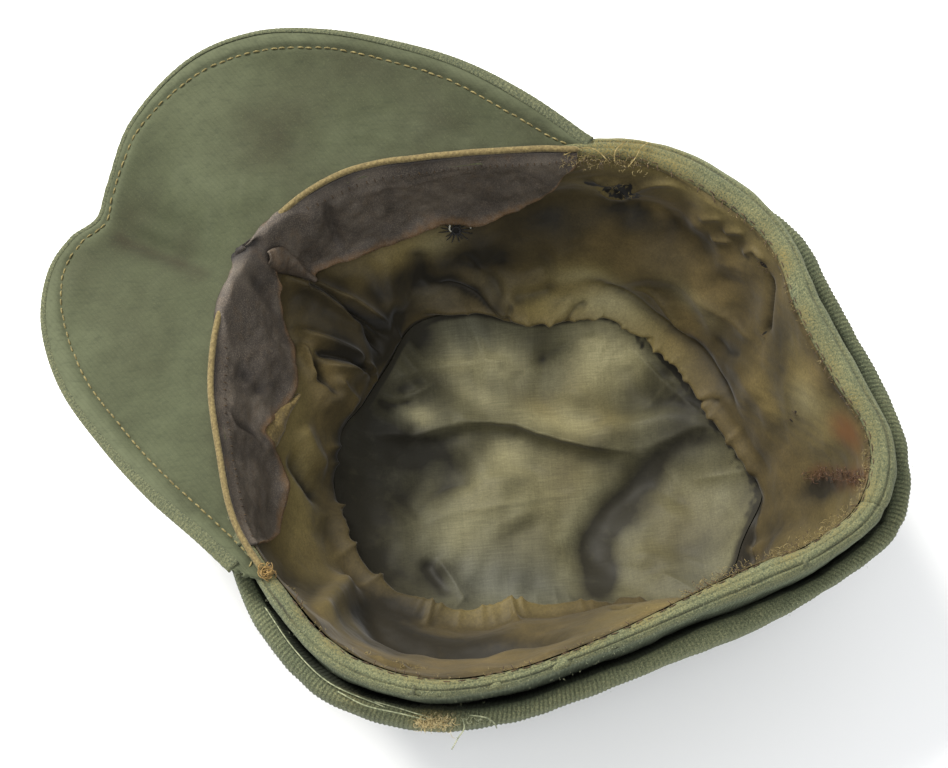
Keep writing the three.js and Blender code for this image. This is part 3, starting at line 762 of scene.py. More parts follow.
# The facing's height over the flat sheet: a crease down the middle that falls towards the notch, three
# sharper ones beside it, a low quilted border outside the topstitching, and shallow unevenness. The
# sharpest runs from the notch in the peak's edge to the piping.
PEAK_CREASE = (-14.6, -152, -11.6, -146, -10.4, -136, -8.6, -124, -5, -109)
relief = -4 * np.exp(-np.abs(angle + 5) / 5) * np.sin(np.pi * share)
relief += crease(x, y, PEAK_CREASE, -1.3, 1.6, 5, ends=0.3, sharp=True)
relief += crease(x, y, (-23, -151, -20.6, -140, -19.5, -124), -0.8, 2.6, ends=0.3)
relief += crease(x, y, (-19, -150, -16.5, -135, -12, -116), 1.0, 2.5, ends=0.3)
relief += 0.7 * np.sin(np.pi * np.clip(gap / stitch, 0, 1)) ** 0.7 - 0.55 * bell(gap, stitch, 0.7)
relief += 0.22 * ripples(grid, 3.2, 31) * bell(gap, stitch, 3) - 0.9 * np.exp(-gap / 0.55)
relief += (0.9 * ripples(grid, 34, 32) + 0.25 * ripples(grid, 9, 33)) * ease(gap / 12)
facing = grid + UP * relief[..., None]

# Soiled patches: how strong, how large, and where.
PEAK_GRIME = (
    (0.3, 15, -64, -108, 80), (0.22, 22, -62, -120, 77), (0.18, 18, -77, -82, 87),
    (0.3, 12, -52, -112, 78), (0.3, 14, -88, -100, 85), (0.45, 14, -80, -62, 88),
    (0.35, 16, -88, -42, 90), (0.45, 9, -19, -146, 58), (0.45, 6, -14, -126, 66),
    (0.35, 14, 10, -130, 64), (0.3, 16, 2, -156, 56), (0.3, 12, 28, -118, 68), (0.3, 12, 68, -92, 80),
)
grime_and_shade = sum(strength * spot(facing, centre, size) for strength, size, *centre in PEAK_GRIME)
# The facing also darkens towards its root.
grime_and_shade = grime_and_shade * (0.85 + 0.3 * ripples(facing, 24, 36)) + 0.35 * np.exp(-share * 9)
# Painted shade along the main crease from the notch.
grime_and_shade += crease(facing[..., 0], facing[..., 1], PEAK_CREASE, 0.6, 1.8, 4, ends=0.15)
border = bell(gap, 2.5, 2.5)
# Painted light: the near half, from -12 degrees on, is paler; the border and two patches are paler too.
faded_and_lit = ease((angle + 12) / 24) * 0.3 + border * (0.8 + 0.4 * ripples(facing, 18, 37))
faded_and_lit += 0.5 * spot(facing, (-60, -138, 72), 22) + 0.25 * spot(facing, (28, -140, 62), 16)
masks = {"grime_and_shade": grime_and_shade * (1 - 0.6 * border), "faded_and_lit": faded_and_lit}
faces = quads(*PEAK_GRID, flip=True)
make("peak_facing", facing, FACING, ["peak"], faces, masks=masks, wall=1.2)


def peak_cover():
    """Outer cloth of the peak: the sheet a wall's thickness below the facing, carried round the edge in
    a half circle and turned over it. The turned strip widens towards both ends."""
    angle = np.linspace(*PEAK_ENDS, 460)
    root, edge = (side[:, None] for side in peak_edge(angle))
    out = unit(np.cross(unit(np.gradient(edge, axis=0)), UP))
    out *= np.sign(np.sum(out * (edge - root), -1, keepdims=True))
    angle = angle[:, None]
    share = np.linspace(0.02, 1, 26)
    ends = 0.3 + 0.7 * ease((angle - PEAK_ENDS[0]) / 9) * ease((PEAK_ENDS[1] - angle) / 7)
    thick = (4.2 - 2.2 * ease((share - 0.7) / 0.3)) * ends
    dip = 4 * np.exp(-np.abs(angle + 5) / 5) * np.sin(np.pi * share)
    under = root + (edge - root) * share[:, None] - UP * (thick + dip)[..., None]
    turn = np.linspace(-np.pi / 2, np.pi / 2, 9)[:, None]
    over = np.linspace(0.15, 1, 5)[:, None]
    ring = edge - 0.5 * UP + 0.9 * out * np.cos(turn) + UP * np.sin(turn)
    ring[:, 0, 2] = under[:, -1, 2]
    turned = (0.9 + 2.4 * ease(np.abs(angle + 10) / 60 - 0.25))[..., None]
    strip = edge - out * over * turned + UP * (0.55 + 0.15 * np.sin(np.pi * over))
    grid = np.concatenate([under[:, :-1], ring, strip], 1)
    girth = runs(edge[:, 0])[:, None]
    columns = np.arange(grid.shape[1])
    cord = 0.06 * np.cos(2 * np.pi * girth / RIB) * ease((columns - 24) / 4)
    soft = 0.5 * ripples(grid, 30, 35) * ease(columns / 6) * ease((28 - columns) / 8)
    grid = grid + normals(grid) * (cord + soft)[..., None]
    cloth = np.stack([girth + 0 * columns, np.linalg.norm(grid - root, axis=-1)], -1)
    masks = {"worn_and_lit": 0.3 + 0.3 * bell(columns, 30, 4), "grime_and_shade": 0.1, "dusty": 0.15, "corded": 0.2}
    make("peak_cover", grid, WOOL, ["peak"], cloth=cloth, masks=masks, wall=0.8)


peak_cover()


def stitch_row(name, path, length, gap, radius, material, lift=0.0, sink=0.35):
    """Row of machine stitches along a path of closely spaced points: each is a short thread, bowed up in
    its middle, thinner at both ends, and it dips into the cloth there."""
    run = runs(path)
    starts = np.arange(0.5 * gap, run[-1] - length, length + gap)
    starts = starts + random.uniform(-0.12, 0.12, len(starts)) * length
    t = np.linspace(0, 1, 6)
    line = np.stack([np.interp(starts[:, None] + t * length, run, path[:, k]) for k in range(3)], -1)
    bow = np.sin(np.pi * t) ** 0.6
    line[..., 2] += lift + (radius + sink) * bow - sink
    line[..., :2] += random.normal(0, 0.06, (len(starts), 1, 2))
    threads(name, line, radius * (0.45 + 0.55 * bow), material)


last = np.clip((gap > stitch).sum(1), 1, PEAK_GRID[1] - 1)
row = np.arange(PEAK_GRID[0])
near, far = gap[row, last - 1], gap[row, last]
part = ((near - stitch[:, 0]) / np.maximum(near - far, 0.01))[:, None]
sewing = facing[row, last - 1] * (1 - part) + facing[row, last] * part
stitch_row("peak_topstitching", sewing[5:-2], 2.4, 0.55, 0.3, PEAK_THREAD, lift=0.1)


# ---------------------------------------------------------------- the lining


def gathered(angle):
    """Radius of the gathered seam, let out by 3 mm where the puffed roll over it hides its edge, by
    less at the right, and by 4 mm more at the back, where the side stands upright."""
    turn = wrap(angle)
    let_out = 3 * ease((np.abs(turn) - 35) / 25) * (1 - 0.8 * bell(turn, 118, 24, 4))
    let_out = let_out * (1 - ease((np.abs(turn) - 150) / 20))
    return around("gather", angle) + let_out + 4 * bell(wrap(angle - 166), 0, 14, 4)


def lining_point(angle, share):
    """Radius and height of the lining's side before its folds: a cubic through five stations, from the
    rim down past the waist to the gathered seam, each a quarter of the way on."""
    rim, seam, waist = (around(k, angle) for k in ("rim", "seam", "waist"))
    gather = gathered(angle)
    radius = [seam - 1.6, (seam + waist) / 2 + 0.5, waist, (waist + gather) / 2 - 2, gather]
    height = [rim - 1.3, 0.84 * rim, 0.65 * rim, 40, GATHER_HEIGHT]
    weights = blend(np.linspace(-0.25, 1.25, 7), share)
    # The first and the last station stand twice, so that the curve ends level with them.
    order = (0, 0, 1, 2, 3, 4, 4)
    return [sum(w * rows[n] for w, n in zip(weights, order)) for rows in (radius, height)]


def hollows(lift, reach, depth):
    """How far each point of a grid lies below those around it, from 0 to 1: the mean over four points
    reach rows and columns away, less its own lift, over depth. The lining is painted darker there, as
    shade in its creases."""
    wide = np.pad(lift, reach, "edge")
    ends = wide[2 * reach :, reach:-reach] + wide[: -2 * reach, reach:-reach]
    sides = wide[reach:-reach, 2 * reach :] + wide[reach:-reach, : -2 * reach]
    return np.clip(((sides + ends) / 4 - lift) / depth, 0, 1)


def stains(rows, u, v):
    """Sum of soft oval stains: strength, place along u and v, and size along u and v. u is an angle, or
    a distance too short to wrap."""
    return sum(k * bell(wrap(u - a), 0, width) * bell(v, b, height) for k, a, b, width, height in rows)


# Millimetres of cloth in a degree round the lining's side, and in the whole way down it.
ON_SIDE = (1.4, 75)

# Swells and sharp folds of the lining's side: where each runs, in degrees round the cap and share of
# the way down in turn, its height towards the middle, and its width on its left and on its right.
SIDE_SWELLS = (
    ((-84, 0.82, -92, 0.7, -101, 0.6, -110, 0.58, -118, 0.62, -124, 0.7), 3.4, 9, 4),
    ((-62, 0.56, -76, 0.42, -92, 0.38, -104, 0.4, -111, 0.46), -4.5, 8),
    ((-52, 0.72, -62, 0.76, -74, 0.68), -4, 6), ((-100, 0.22, -110, 0.3, -118, 0.4), 2.5, 7),
    ((-47, 0.65, -51, 0.76, -55, 0.83, -58, 0.93), -2.4, 3),
    ((-57, 0.88, -62, 0.87, -69, 0.84, -75, 0.8), -3, 3.2, 2.2),
    ((-75, 0.8, -84, 0.79, -94, 0.83, -106, 0.85, -117, 0.84, -132, 0.82, -148, 0.78), -3, 3.4, 2.2),
    ((-128, 0.66, -140, 0.6, -152, 0.62), 2, 5), ((-20, 0.6, -21, 0.72, -26, 0.86), 4, 5),
    ((-12, 0.5, -10, 0.7, -6, 0.9), 4.5, 9), ((-32, 0.55, -28, 0.75, -30, 0.9), 3, 4),
    ((-38, 0.6, -36, 0.85), -3, 4), ((0, 0.7, 4, 0.78, 4, 0.95), 3, 5),
    ((14, 0.62, 20, 0.75, 24, 0.9), 2.5, 4), ((22, 0.6, 28, 0.72, 34, 0.86), -3, 3),
    ((60, 0.84, 73, 0.66, 86, 0.6, 98, 0.56, 112, 0.46, 124, 0.3), -5.5, 5),
    ((66, 0.3, 62, 0.5, 58, 0.7, 54, 0.85), 5, 3.5, 6), ((130, 0.04, 151, 0.15), 1.4, 2),
    ((140, 0.99, 148, 0.92, 154, 0.95), 4.5, 3.5), ((-86, 0.4, -90, 0.46, -98, 0.36), 2.2, 5),
)
SIDE_FOLDS = (
    ((-38, 0.8, -43, 0.82, -48, 0.87, -53, 0.92, -59, 0.955), -3.4, 1.5, 2.2),
    ((-11.5, 0.36, -13.6, 0.54, -14.6, 0.64, -15.6, 0.74, -18, 0.88), 6, 4, 1.6),
    ((-13, 0.38, -16.4, 0.58, -19, 0.69, -22.8, 0.91), 4.6, 1.4, 3.4),
    ((-12.8, 0.42, -15, 0.57, -16.2, 0.7, -18.6, 0.82, -20, 0.92), -5, 1.5),
    ((-16.2, 0.66, -16.4, 0.78, -15, 0.93), -4.5, 1.7),
    ((-4, 0.5, -6.4, 0.69, -8.8, 0.86), 4.6, 1.4, 3.4), ((0, 0.67, -4, 0.8, -7.2, 0.93), 4, 1.2, 3),
    ((-2.6, 0.62, -5.2, 0.76, -8, 0.9), -5, 1.3), ((-8.2, 0.84, -9.4, 0.9, -7.6, 0.92), 2.6, 1),
    ((-3, 0.56, -0.4, 0.62, 3.4, 0.68), 3.4, 0.9, 2), ((-2.4, 0.64, 1.4, 0.7, 4.4, 0.8), -3, 1.4),
    ((0.6, 0.74, 1.2, 0.84, 0.8, 0.94), 2, 2),
    ((-79.5, 0.27, -83, 0.37, -86.5, 0.35, -88.3, 0.24, -91, 0.16, -95, 0.1, -100, 0.1), 2.6, 1, 2.2),
    ((-79, 0.2, -82, 0.24, -86, 0.2), 1.6, 1.2), ((-110, 0.19, -114, 0.09), 1.3, 1),
    ((-116, 0.22, -118, 0.12, -122, 0.12), 1.6, 1), ((-108, 0.28, -113, 0.2), 1.3, 1),
    ((-104, 0.2, -109, 0.1), 1, 1.2), ((-122, 0.16, -124, 0.16, -131, 0.33, -131.6, 0.42), -2.4, 1.1),
    ((-132, 0.44, -129, 0.5, -122, 0.55, -110, 0.6), 1.1, 1.6),
    ((-121, 0.69, -128, 0.65, -132, 0.56), -1.2, 2.2),
    ((-139, 0.24, -144, 0.35, -149, 0.46, -156, 0.61), 0.5, 3, 5), ((-60, 0.88, -58, 0.97), -2.6, 1.4),
    ((-94, 0.8, -98, 0.72, -104, 0.72, -110, 0.78, -118, 0.84), 1.6, 1.2, 2),
    ((-70, 0.98, -74, 0.9, -80, 0.86), 2.2, 1, 2.2), ((-76, 0.99, -79, 0.91, -85, 0.88), -2.4, 1.1),
    ((-84, 0.98, -87, 0.92, -90, 0.9), 1.6, 1), ((-96, 0.98, -98, 0.91), 1.2, 0.8),
    ((-103, 0.99, -106, 0.93, -109, 0.91), -1.6, 0.8), ((-112, 0.99, -116, 0.93), 1.4, 0.8),
    ((-122, 0.98, -126, 0.92), 1.2, 0.9), ((-131, 0.99, -134, 0.9, -137, 0.87), -1.8, 0.9),
    ((-136, 0.99, -139, 0.9), 1.6, 0.9), ((76, 0.99, 78, 0.9, 79.4, 0.82), 2.2, 0.9, 1.6),
    ((104, 0.98, 105.4, 0.88, 107, 0.8), 1.8, 0.8, 1.2), ((136, 0.62, 139, 0.47, 143, 0.55), -1.6, 1.2),
    ((78, 0.2, 82, 0.16, 87, 0.21), 1.8, 0.8), ((79, 0.25, 83, 0.22, 86.5, 0.26), -2.6, 0.8),
)


def upright(angle):
    """How upright the side stands, from 0 to 1: fully from 145 to 190 degrees."""
    return bell(wrap(angle - 168), 0, 25, 4)


def gathers(angle, share):
    """Small pleats drawn in by the gathering thread: sixty-four ridges of uneven height and width that
    fan out a little and die away up the side, over a puffed roll that stands above the seam."""
    r = np.random.default_rng(9)
    where, lean = r.uniform(-180, 180, 64), r.normal(0, 14, 64)
    shapes = (r.uniform(low, high, 64) for low, high in ((0.5, 2.4), (0.8, 1.8), (0.1, 0.22)))
    ridges = pleats(angle, share, 0.12, where, lean, *shapes)
    away = ease((np.abs(angle) - 31) / 10) * ease((angle + 165) / 20 + (angle > 0))
    puff = 4.8 * bell(share, 0.93, 0.048) * (0.1 + 0.9 * away) * (1 - upright(angle))
    return (ridges + puff) * ease((1 - share) / 0.03)


# Free edge of the sweatband: angle, share of the way down the lining, and distance from it.
LEATHER_EDGE = table(
    "angle share off",
    (-75.6, 0.01, 0.5), (-72, 0.223, 1.4), (-67.6, 0.374, 1.6), (-58.4, 0.505, 1.8), (-51.6, 0.556, 2),
    (-48.4, 0.53, 2), (-44, 0.526, 2), (-38.4, 0.543, 2), (-29.2, 0.538, 2.2), (-23.6, 0.532, 2.6),
    (-17.5, 0.515, 2.6), (-15.3, 0.51, 4.2), (-13.8, 0.44, 3), (-12.4, 0.37, 1.6), (-10.6, 0.25, 0.8),
    (-9.7, 0.22, 1), (-8.4, 0.27, 1.3), (-6.4, 0.35, 1.5), (-4.4, 0.43, 1.5), (-2.6, 0.51, 1.6),
    (-1.2, 0.54, 1.6), (5.2, 0.53, 1.5), (10, 0.5, 1.5), (15.6, 0.46, 1.5), (21.2, 0.385, 1.5),
    (23.6, 0.474, 2), (27.2, 0.569, 2), (31.6, 0.593, 2), (38, 0.574, 2), (44.4, 0.462, 1.6),
    (49.5, 0.02, 0.6),
)


def side_turns():
    """Angles of the side's rows, closer together where the front pleats and the puffed roll need it:
    even steps of the running total of how dense they should be."""
    even = np.linspace(-180, 180, 2001)
    dense = 1 + 1.2 * bell(even, -8, 16) + 0.4 * bell(even, -95, 45, 4)
    total = np.concatenate([[0], np.cumsum((dense[1:] + dense[:-1]) / 2)])
    return np.interp(np.linspace(0, total[-1], SIDE_ROWS + 1), total, even)


SIDE_ROWS, SIDE_COLUMNS = 640, 112
TURNS = side_turns()


def lining_side():
    """Side of the lining as a closed ring, moved along its own normal by its folds and gathers, and
    held back where the sweatband lies over it. Returns its points, where they are, and its hollows."""
    angle, share = np.meshgrid(TURNS[:-1], np.linspace(0, 1, SIDE_COLUMNS), indexing="ij")
    grid = polar(angle, *lining_point(angle, share))
    cloth = angle * ON_SIDE[0], share * ON_SIDE[1]
    lift = folds(*cloth, SIDE_SWELLS, scale=ON_SIDE) + folds(*cloth, SIDE_FOLDS, True, ON_SIDE)
    soft = ripples(grid, 30, 51) + 0.6 * ripples(grid, 12, 52, (1, 1, 1.6)) + 0.09 * ripples(grid, 4, 53)
    ragged = bell(np.abs(angle), 174, 12) * ease((0.7 - share) / 0.3)
    soft += ragged * (0.25 * ripples(grid, 6, 54) + 0.05 * ripples(grid, 2, 57))
    fixed = ease(share / 0.06) * ease((1 - share) / 0.03)
    lift = (lift + soft - 4.5 * upright(angle) * ease(share / 0.2)) * fixed + gathers(angle, share)
    edge = smooth(LEATHER_EDGE["angle"], LEATHER_EDGE["share"], angle) * ((angle > -75) & (angle < 49))
    under = ease((edge + 0.03 - share) / 0.05)
    lift = lift * (1 - under) - 0.6 * under
    # Painted shade in the creases: darker where the cloth lies below its neighbours.
    crease_shade = 0.4 * hollows(lift, 3, 1.0) + 0.35 * hollows(lift, 8, 3.6)
    return grid + normals(grid, True) * lift[..., None], angle, share, crease_shade


side, side_angle, side_share, side_crease_shade = lining_side()


def side_place(angle, share):
    """Points on the folded lining side at angles and shares, between the grid's rows and columns."""
    i = np.interp(wrap(np.asarray(angle, float)), TURNS, np.arange(SIDE_ROWS + 1))
    j = np.asarray(share, float) * (SIDE_COLUMNS - 1)
    a, b = np.floor(i).astype(int), np.clip(np.floor(j).astype(int), 0, SIDE_COLUMNS - 2)
    s, t = (i - a)[..., None], (j - b)[..., None]
    a, n = a % SIDE_ROWS, (a + 1) % SIDE_ROWS
    top, low = (side[a, b + k] * (1 - s) + side[n, b + k] * s for k in (0, 1))
    return top * (1 - t) + low * t


# Stains of the side: how strong, angle, share, and size in degrees and share. Besides sweat marks,
# the darkening rows paint shade in the creases by the puffed rolls, in the front pleats and on the
# near wall, and the grey row paints the tone of the shade by the far roll.
SIDE_STAINS = {
    "grime_and_shade": (
        (0.8, -25, 0.88, 8, 0.12), (0.5, -37, 0.79, 4, 0.03), (0.9, -43, 0.79, 5, 0.035),
        (0.8, -49, 0.85, 4, 0.035), (0.7, -55, 0.91, 4, 0.03), (0.6, -29, 0.72, 7, 0.07),
        (0.7, -46, 0.72, 12, 0.05), (0.35, -96, 0.4, 12, 0.08), (0.25, -115, 0.36, 10, 0.12),
        (0.4, -132, 0.2, 5, 0.1), (0.3, -134, 0.64, 7, 0.12), (0.3, -160, 0.6, 9, 0.14),
        (0.95, 86, 0.71, 14, 0.09), (0.35, 76, 0.5, 10, 0.1), (0.4, 82, 0.99, 9, 0.05),
        (0.4, 64, 0.86, 8, 0.07), (0.9, 73, 0.69, 8, 0.09), (0.3, 30, 0.8, 10, 0.1),
        (0.6, 53, 0.52, 8, 0.12), (0.3, 38, 0.9, 8, 0.08), (0.4, -9, 0.7, 6, 0.1),
        (0.6, -15, 0.9, 8, 0.08), (0.3, 160, 0.5, 16, 0.2), (0.3, 116, 0.5, 14, 0.14),
        (0.35, -43, 0.9, 10, 0.06), (0.6, -53, 0.67, 9, 0.06), (0.6, -68, 0.53, 10, 0.06),
        (0.55, -89, 0.43, 10, 0.06), (0.35, -60, 0.62, 16, 0.09), (0.35, -80, 0.52, 16, 0.08),
        (0.8, -80, 0.24, 3, 0.03), (0.5, -129, 0.64, 5, 0.16), (0.5, -137, 0.3, 5, 0.1),
        (0.45, -142, 0.4, 5, 0.1), (0.3, -137, 0.83, 6, 0.1), (0.9, -18, 0.87, 6, 0.12),
        (0.75, -7, 0.76, 4, 0.1), (0.5, -13, 0.56, 5, 0.1), (0.7, 2, 0.95, 7, 0.06),
        (0.7, 13, 0.94, 9, 0.06), (0.7, 23, 0.97, 9, 0.05), (0.55, 6, 0.8, 5, 0.07),
        (0.8, 68, 0.82, 8, 0.08), (0.45, 74, 0.9, 8, 0.06), (0.5, 66, 0.67, 6, 0.08),
        (0.6, 86, 0.6, 14, 0.08), (0.55, 98, 0.6, 9, 0.08), (0.45, 107, 0.54, 8, 0.08),
        (0.4, 74, 0.45, 8, 0.1), (0.3, 115, 0.4, 9, 0.1), (0.6, 83, 0.26, 5, 0.04),
        (0.9, -166, 0.5, 2.6, 0.14), (0.35, -164, 0.28, 4, 0.1), (0.3, -171, 0.3, 5, 0.1),
        (0.4, -173, 0.78, 6, 0.1), (0.4, -180, 0.83, 8, 0.1), (0.35, 54, 0.92, 6, 0.05),
    ),
    "yellow": (
        (0.85, -88, 0.86, 22, 0.08), (0.65, -84, 0.73, 14, 0.06), (0.5, -69, 0.88, 8, 0.06),
        (0.5, -112, 0.93, 14, 0.05), (0.7, -98, 0.06, 24, 0.08), (0.6, -81, 0.3, 7, 0.08),
        (0.55, -34, 0.6, 9, 0.08), (0.5, 12, 0.56, 9, 0.08), (0.55, 24, 0.68, 12, 0.12),
        (0.45, 38, 0.7, 10, 0.14), (0.4, 50, 0.6, 8, 0.16), (0.35, 66, 0.5, 8, 0.2),
        (0.45, 150, 0.3, 26, 0.3), (0.4, -142, 0.22, 8, 0.1), (0.45, -156, 0.32, 8, 0.2),
        (0.3, -146, 0.5, 10, 0.16), (0.35, -176, 0.3, 10, 0.3), (0.4, 98, 0.93, 26, 0.06),
    ),
    "lightened": (
        (0.65, -90, 0.87, 12, 0.05), (0.4, -82, 0.74, 9, 0.04), (0.3, -42, 0.62, 5, 0.05),
        (0.25, -112, 0.62, 8, 0.05), (0.35, -150, 0.3, 4, 0.1), (0.3, -178, 0.2, 8, 0.2),
    ),
    "rust": (
        (0.8, -160, 0.14, 3.4, 0.1), (0.5, -157, 0.2, 3, 0.1), (0.9, -163.4, 0.5, 2.2, 0.08),
        (0.9, -165.6, 0.36, 2.2, 0.09), (0.85, -167, 0.22, 2.2, 0.09), (0.7, -168, 0.06, 2.2, 0.08),
    ),
    "grey": ((0.25, -45, 0.85, 20, 0.08),),
}
# Torn holes: how deep, angle, share, size in degrees and share, and the seed of the ripples that stir
# their outline.
HOLES = (
    (1, -85.8, 0.29, 3.6, 0.07, 61), (1, -79.8, 0.27, 2.2, 0.03, 62), (1, -121.6, 0.14, 0.8, 0.014, 63),
    (0.8, -131.6, 0.4, 0.5, 0.02, 64), (1, 57, 0.38, 1.6, 0.012, 65), (1, 62, 0.06, 3, 0.008, 66),
    (0.9, 84, 0.24, 3.0, 0.012, 67), (1, -48, 0.58, 0.85, 0.017, 70),
    (0.85, -150.8, 0.41, 0.5, 0.012, 68), (0.8, -151.8, 0.48, 0.45, 0.012, 69),
)
masks = {mask: stains(rows, side_angle, side_share) for mask, rows in SIDE_STAINS.items()}
# The holes are painted near black, as the shade seen through them.
masks["hole"] = 0
for depth, angle, share, width, height, seed in HOLES:
    reach = np.hypot(wrap(side_angle - angle) / width, (side_share - share) / height)
    masks["hole"] = masks["hole"] + depth * ease(1.6 - reach * 1.1 + 0.45 * ripples(side, 2.4, seed))
right = bell(side_angle, -133, 34, 4)
deep = 0.97 - 0.04 * right * (0.6 + ripples(side, 4, 77))
# Painted shade in the crevice along the gathered seam, and a little under the hem at the top.
masks["grime_and_shade"] += 0.97 * ease((side_share - deep) / 0.025) + 0.3 * bell(side_share, 0.02, 0.03)
# Painted shade in the hollows; the side also darkens towards the back, away from its top.
masks["grime_and_shade"] += side_crease_shade + 0.12 * ease((np.abs(side_angle) - 100) / 60) * ease(side_share * 2)
faces = quads(SIDE_ROWS, SIDE_COLUMNS, closed=True)
make("lining_side_cloth", side, WALL_SATIN, ["lining_side"], faces, masks=masks)


# Swells and sharp folds of the lining's disc: path as x and y in turn, height, and width on its left
# and on its right. The first sharp one is the main fold.
DISC_SWELLS = (
    ((-22, 6, -30, 20, -36, 31, -38, 42, -35, 51), 4.5, 5, 5),
    ((-30, 41, -22, 34, -4, 25, 9.5, 23.5, 24, 31), -4.5, 7),
    ((-56, -2, -46, -1, -35, 2, -26, 4), 6, 8, 10), ((-51, 10, -44, 19, -43, 29), -4, 6, 6),
    ((-14, 46, 0, 42, 14, 44), 2.5, 9), ((2, -47, -4, -36, -10, -27), -3, 4),
    ((-3, -22, 13, -31, 28, -39), -3, 7), ((14, -50, 28, -48, 38, -40), -3, 9),
    ((-26, -34, -33, -24, -38, -12), 3, 7), ((-4, -10, 6, -4, 14, 4), 2.5, 10),
    ((36, -24, 41, -17, 47, -9), -2.6, 3.4), ((36, -14, 38, 0, 34, 14), 1.5, 8),
)
DISC_FOLDS = (
    ((9, -61, 5, -52, 1.5, -44, -3.5, -37, -9, -30.5, -13.5, -24, -17, -17.5, -17.8, -12, -17.4, -6.9,
     -18.6, 3.1, -19.8, 11, -22, 22, -25.5, 33), 6.6, 9, 2.4),
    ((-23, 25, -30, 34, -37, 44, -35, 51, -30, 57), 3.2, 4.5, 1.6),
    ((-10, -60, -14.1, -53.3, -22.1, -46, -27.5, -38, -31.5, -30, -36, -18), 2.8, 3, 2),
    ((-5.8, -57, -9.1, -49.5, -14.6, -44.8, -20, -42.4), 3, 1.2, 1.8),
    ((-3, -58, -6, -51, -11, -46), -2.4, 1.4), ((-51, -6, -37, -15.6, -25.7, -22.8), -1.6, 3),
    ((34, -20, 40, -11, 47, -3), 2.2, 1.2, 3),
    ((31, -35, 16.8, -18, 10, -6, 2.4, 3.7, -8.7, 20), 0.5, 1.2), ((30, -32, 12, -28, 4, -14), -1, 2.5),
    ((-54, 9, -50.5, 17, -46, 26, -42, 31), 4, 1.2, 4.5), ((-48, 24, -43, 34, -40, 42), 1.6, 1.2),
)


def lining_disc():
    """Disc of the lining: dished up to its gathered edge, raised by its folds, and the main fold leaning
    over to one side. Returns its points, where they are, and its hollows."""
    angle, share = pressed_round(236)
    grid = polar(angle, share * (gathered(angle) - 0.3), FLOOR_HEIGHT + 17.3 * share**5)
    flat = grid[..., 0], grid[..., 1]
    r = np.random.default_rng(15)
    tall, wide, long, where = (
        r.uniform(low, high, 50) for low, high in ((0.4, 1.6), (1, 2.2), (0.15, 0.32), (-180, 180))
    )
    lift = folds(*flat, DISC_SWELLS) + folds(*flat, DISC_FOLDS, True)
    lift += pleats(angle, share, 0.15, where, 0 * where, tall, wide, long)
    lift += 1.3 * ripples(grid, 27, 55) + 0.35 * ripples(grid, 8, 56)
    held = ease((1 - share) / 0.04)
    lift = lift * held + 3.5
    # Painted shade in the creases: darker where the cloth lies below its neighbours.
    crease_shade = 0.4 * hollows(lift, 3, 1.2) + 0.5 * hollows(lift, 10, 4)
    lean = np.clip(folds(*flat, DISC_FOLDS[:1], True) / 6, 0, 1) ** 2 * ease((flat[1] + 34) / 16)
    grid[..., 2] = np.maximum(grid[..., 2] + lift * (1 - share**6), 3.5)
    grid[..., 0] += 2.2 * lean * held
    return grid, angle, share, crease_shade


disc, disc_angle, disc_share, disc_crease_shade = lining_disc()

# Stains of the disc: how strong, x, y, and size along x and along y. Besides sweat marks, the
# darkening rows paint shade in the valleys and under the folds, and those of negative strength paint
# highlights on lit flanks; the grey rows partly paint the neutral tone of shade, and the paling rows
# paint highlights on the mound and on the main fold's lit side.
DISC_STAINS = {
    "grime_and_shade": (
        (0.3, 16, -40, 20, 9), (0.95, -30, -54, 6, 6), (0.4, -43, -48, 6, 5), (0.7, -33, 37, 9, 8),
        (0.6, -20, 32, 8, 7), (0.55, -6, 26, 8, 6), (0.8, 9, 24, 8, 6), (0.9, 21, 30, 8, 6),
        (0.45, -38, 47, 6, 8), (0.65, -44, 36, 5, 9), (0.4, -4, 34, 8, 5), (0.4, 11, -26, 7, 4),
        (0.35, -1, -24, 7, 5), (0.2, 14, 46, 12, 9), (0.25, -4, 54, 14, 9), (-0.6, -5, -46, 4, 7),
        (0.7, 6, -44, 4, 9), (0.55, 1, -34, 4, 6), (0.4, 10, -54, 5, 6), (-0.3, -9, -34, 5, 5),
        (0.5, 13, 28, 6, 6), (0.7, -1, 27, 5, 6), (0.5, 6, 26, 6, 5), (0.6, 18, 31, 5, 5),
        (0.6, 25, 33, 5, 5), (0.35, -12, 31, 7, 6), (0.35, -24, 64, 8, 6), (0.25, 22, -1, 6, 6),
        (0.3, 30, 8, 10, 9), (0.45, -50, 24, 5, 6), (0.2, -5, 40, 10, 10), (0.25, 2, -28, 9, 6),
        (0.3, -39, 17, 6, 5), (0.45, 40, -18, 5, 5), (0.3, -46, -16, 6, 6), (0.35, -32, -25, 1.6, 1.6),
        (0.35, -40, -14, 1.4, 1.4),
    ),
    "yellow": (
        (0.5, -24, -4, 4, 10), (0.35, -40, 4, 14, 9), (0.3, -30, 14, 5, 8), (0.2, -8, 8, 12, 10),
        (0.2, -4, 46, 16, 12),
    ),
    "grey": (
        (0.5, -37, -36, 12, 14), (0.45, 4, -44, 18, 12), (0.6, 38, -8, 12, 18), (0.5, 32, 12, 10, 14),
        (0.4, 8, 58, 14, 8), (0.3, -30, 34, 10, 12),
    ),
    "lightened": (
        (0.9, -50, 2, 8, 8), (0.6, -40, 5, 8, 7), (0.7, -49, 13, 6, 5), (0.8, -25, 3, 5, 7),
        (0.6, -6, -42, 4, 5), (0.7, -27, -38, 6, 8), (0.7, -33, -26, 6, 9), (0.4, -20, -28, 4, 8),
        (0.6, -6, -11, 6, 7), (0.2, 8, -14, 10, 8), (0.2, 24, -16, 9, 7), (0.1, 4, 2, 12, 9),
        (0.35, -20, -8, 4, 8),
    ),
}
masks = {mask: stains(rows, disc[..., 0], disc[..., 1]) for mask, rows in DISC_STAINS.items()}
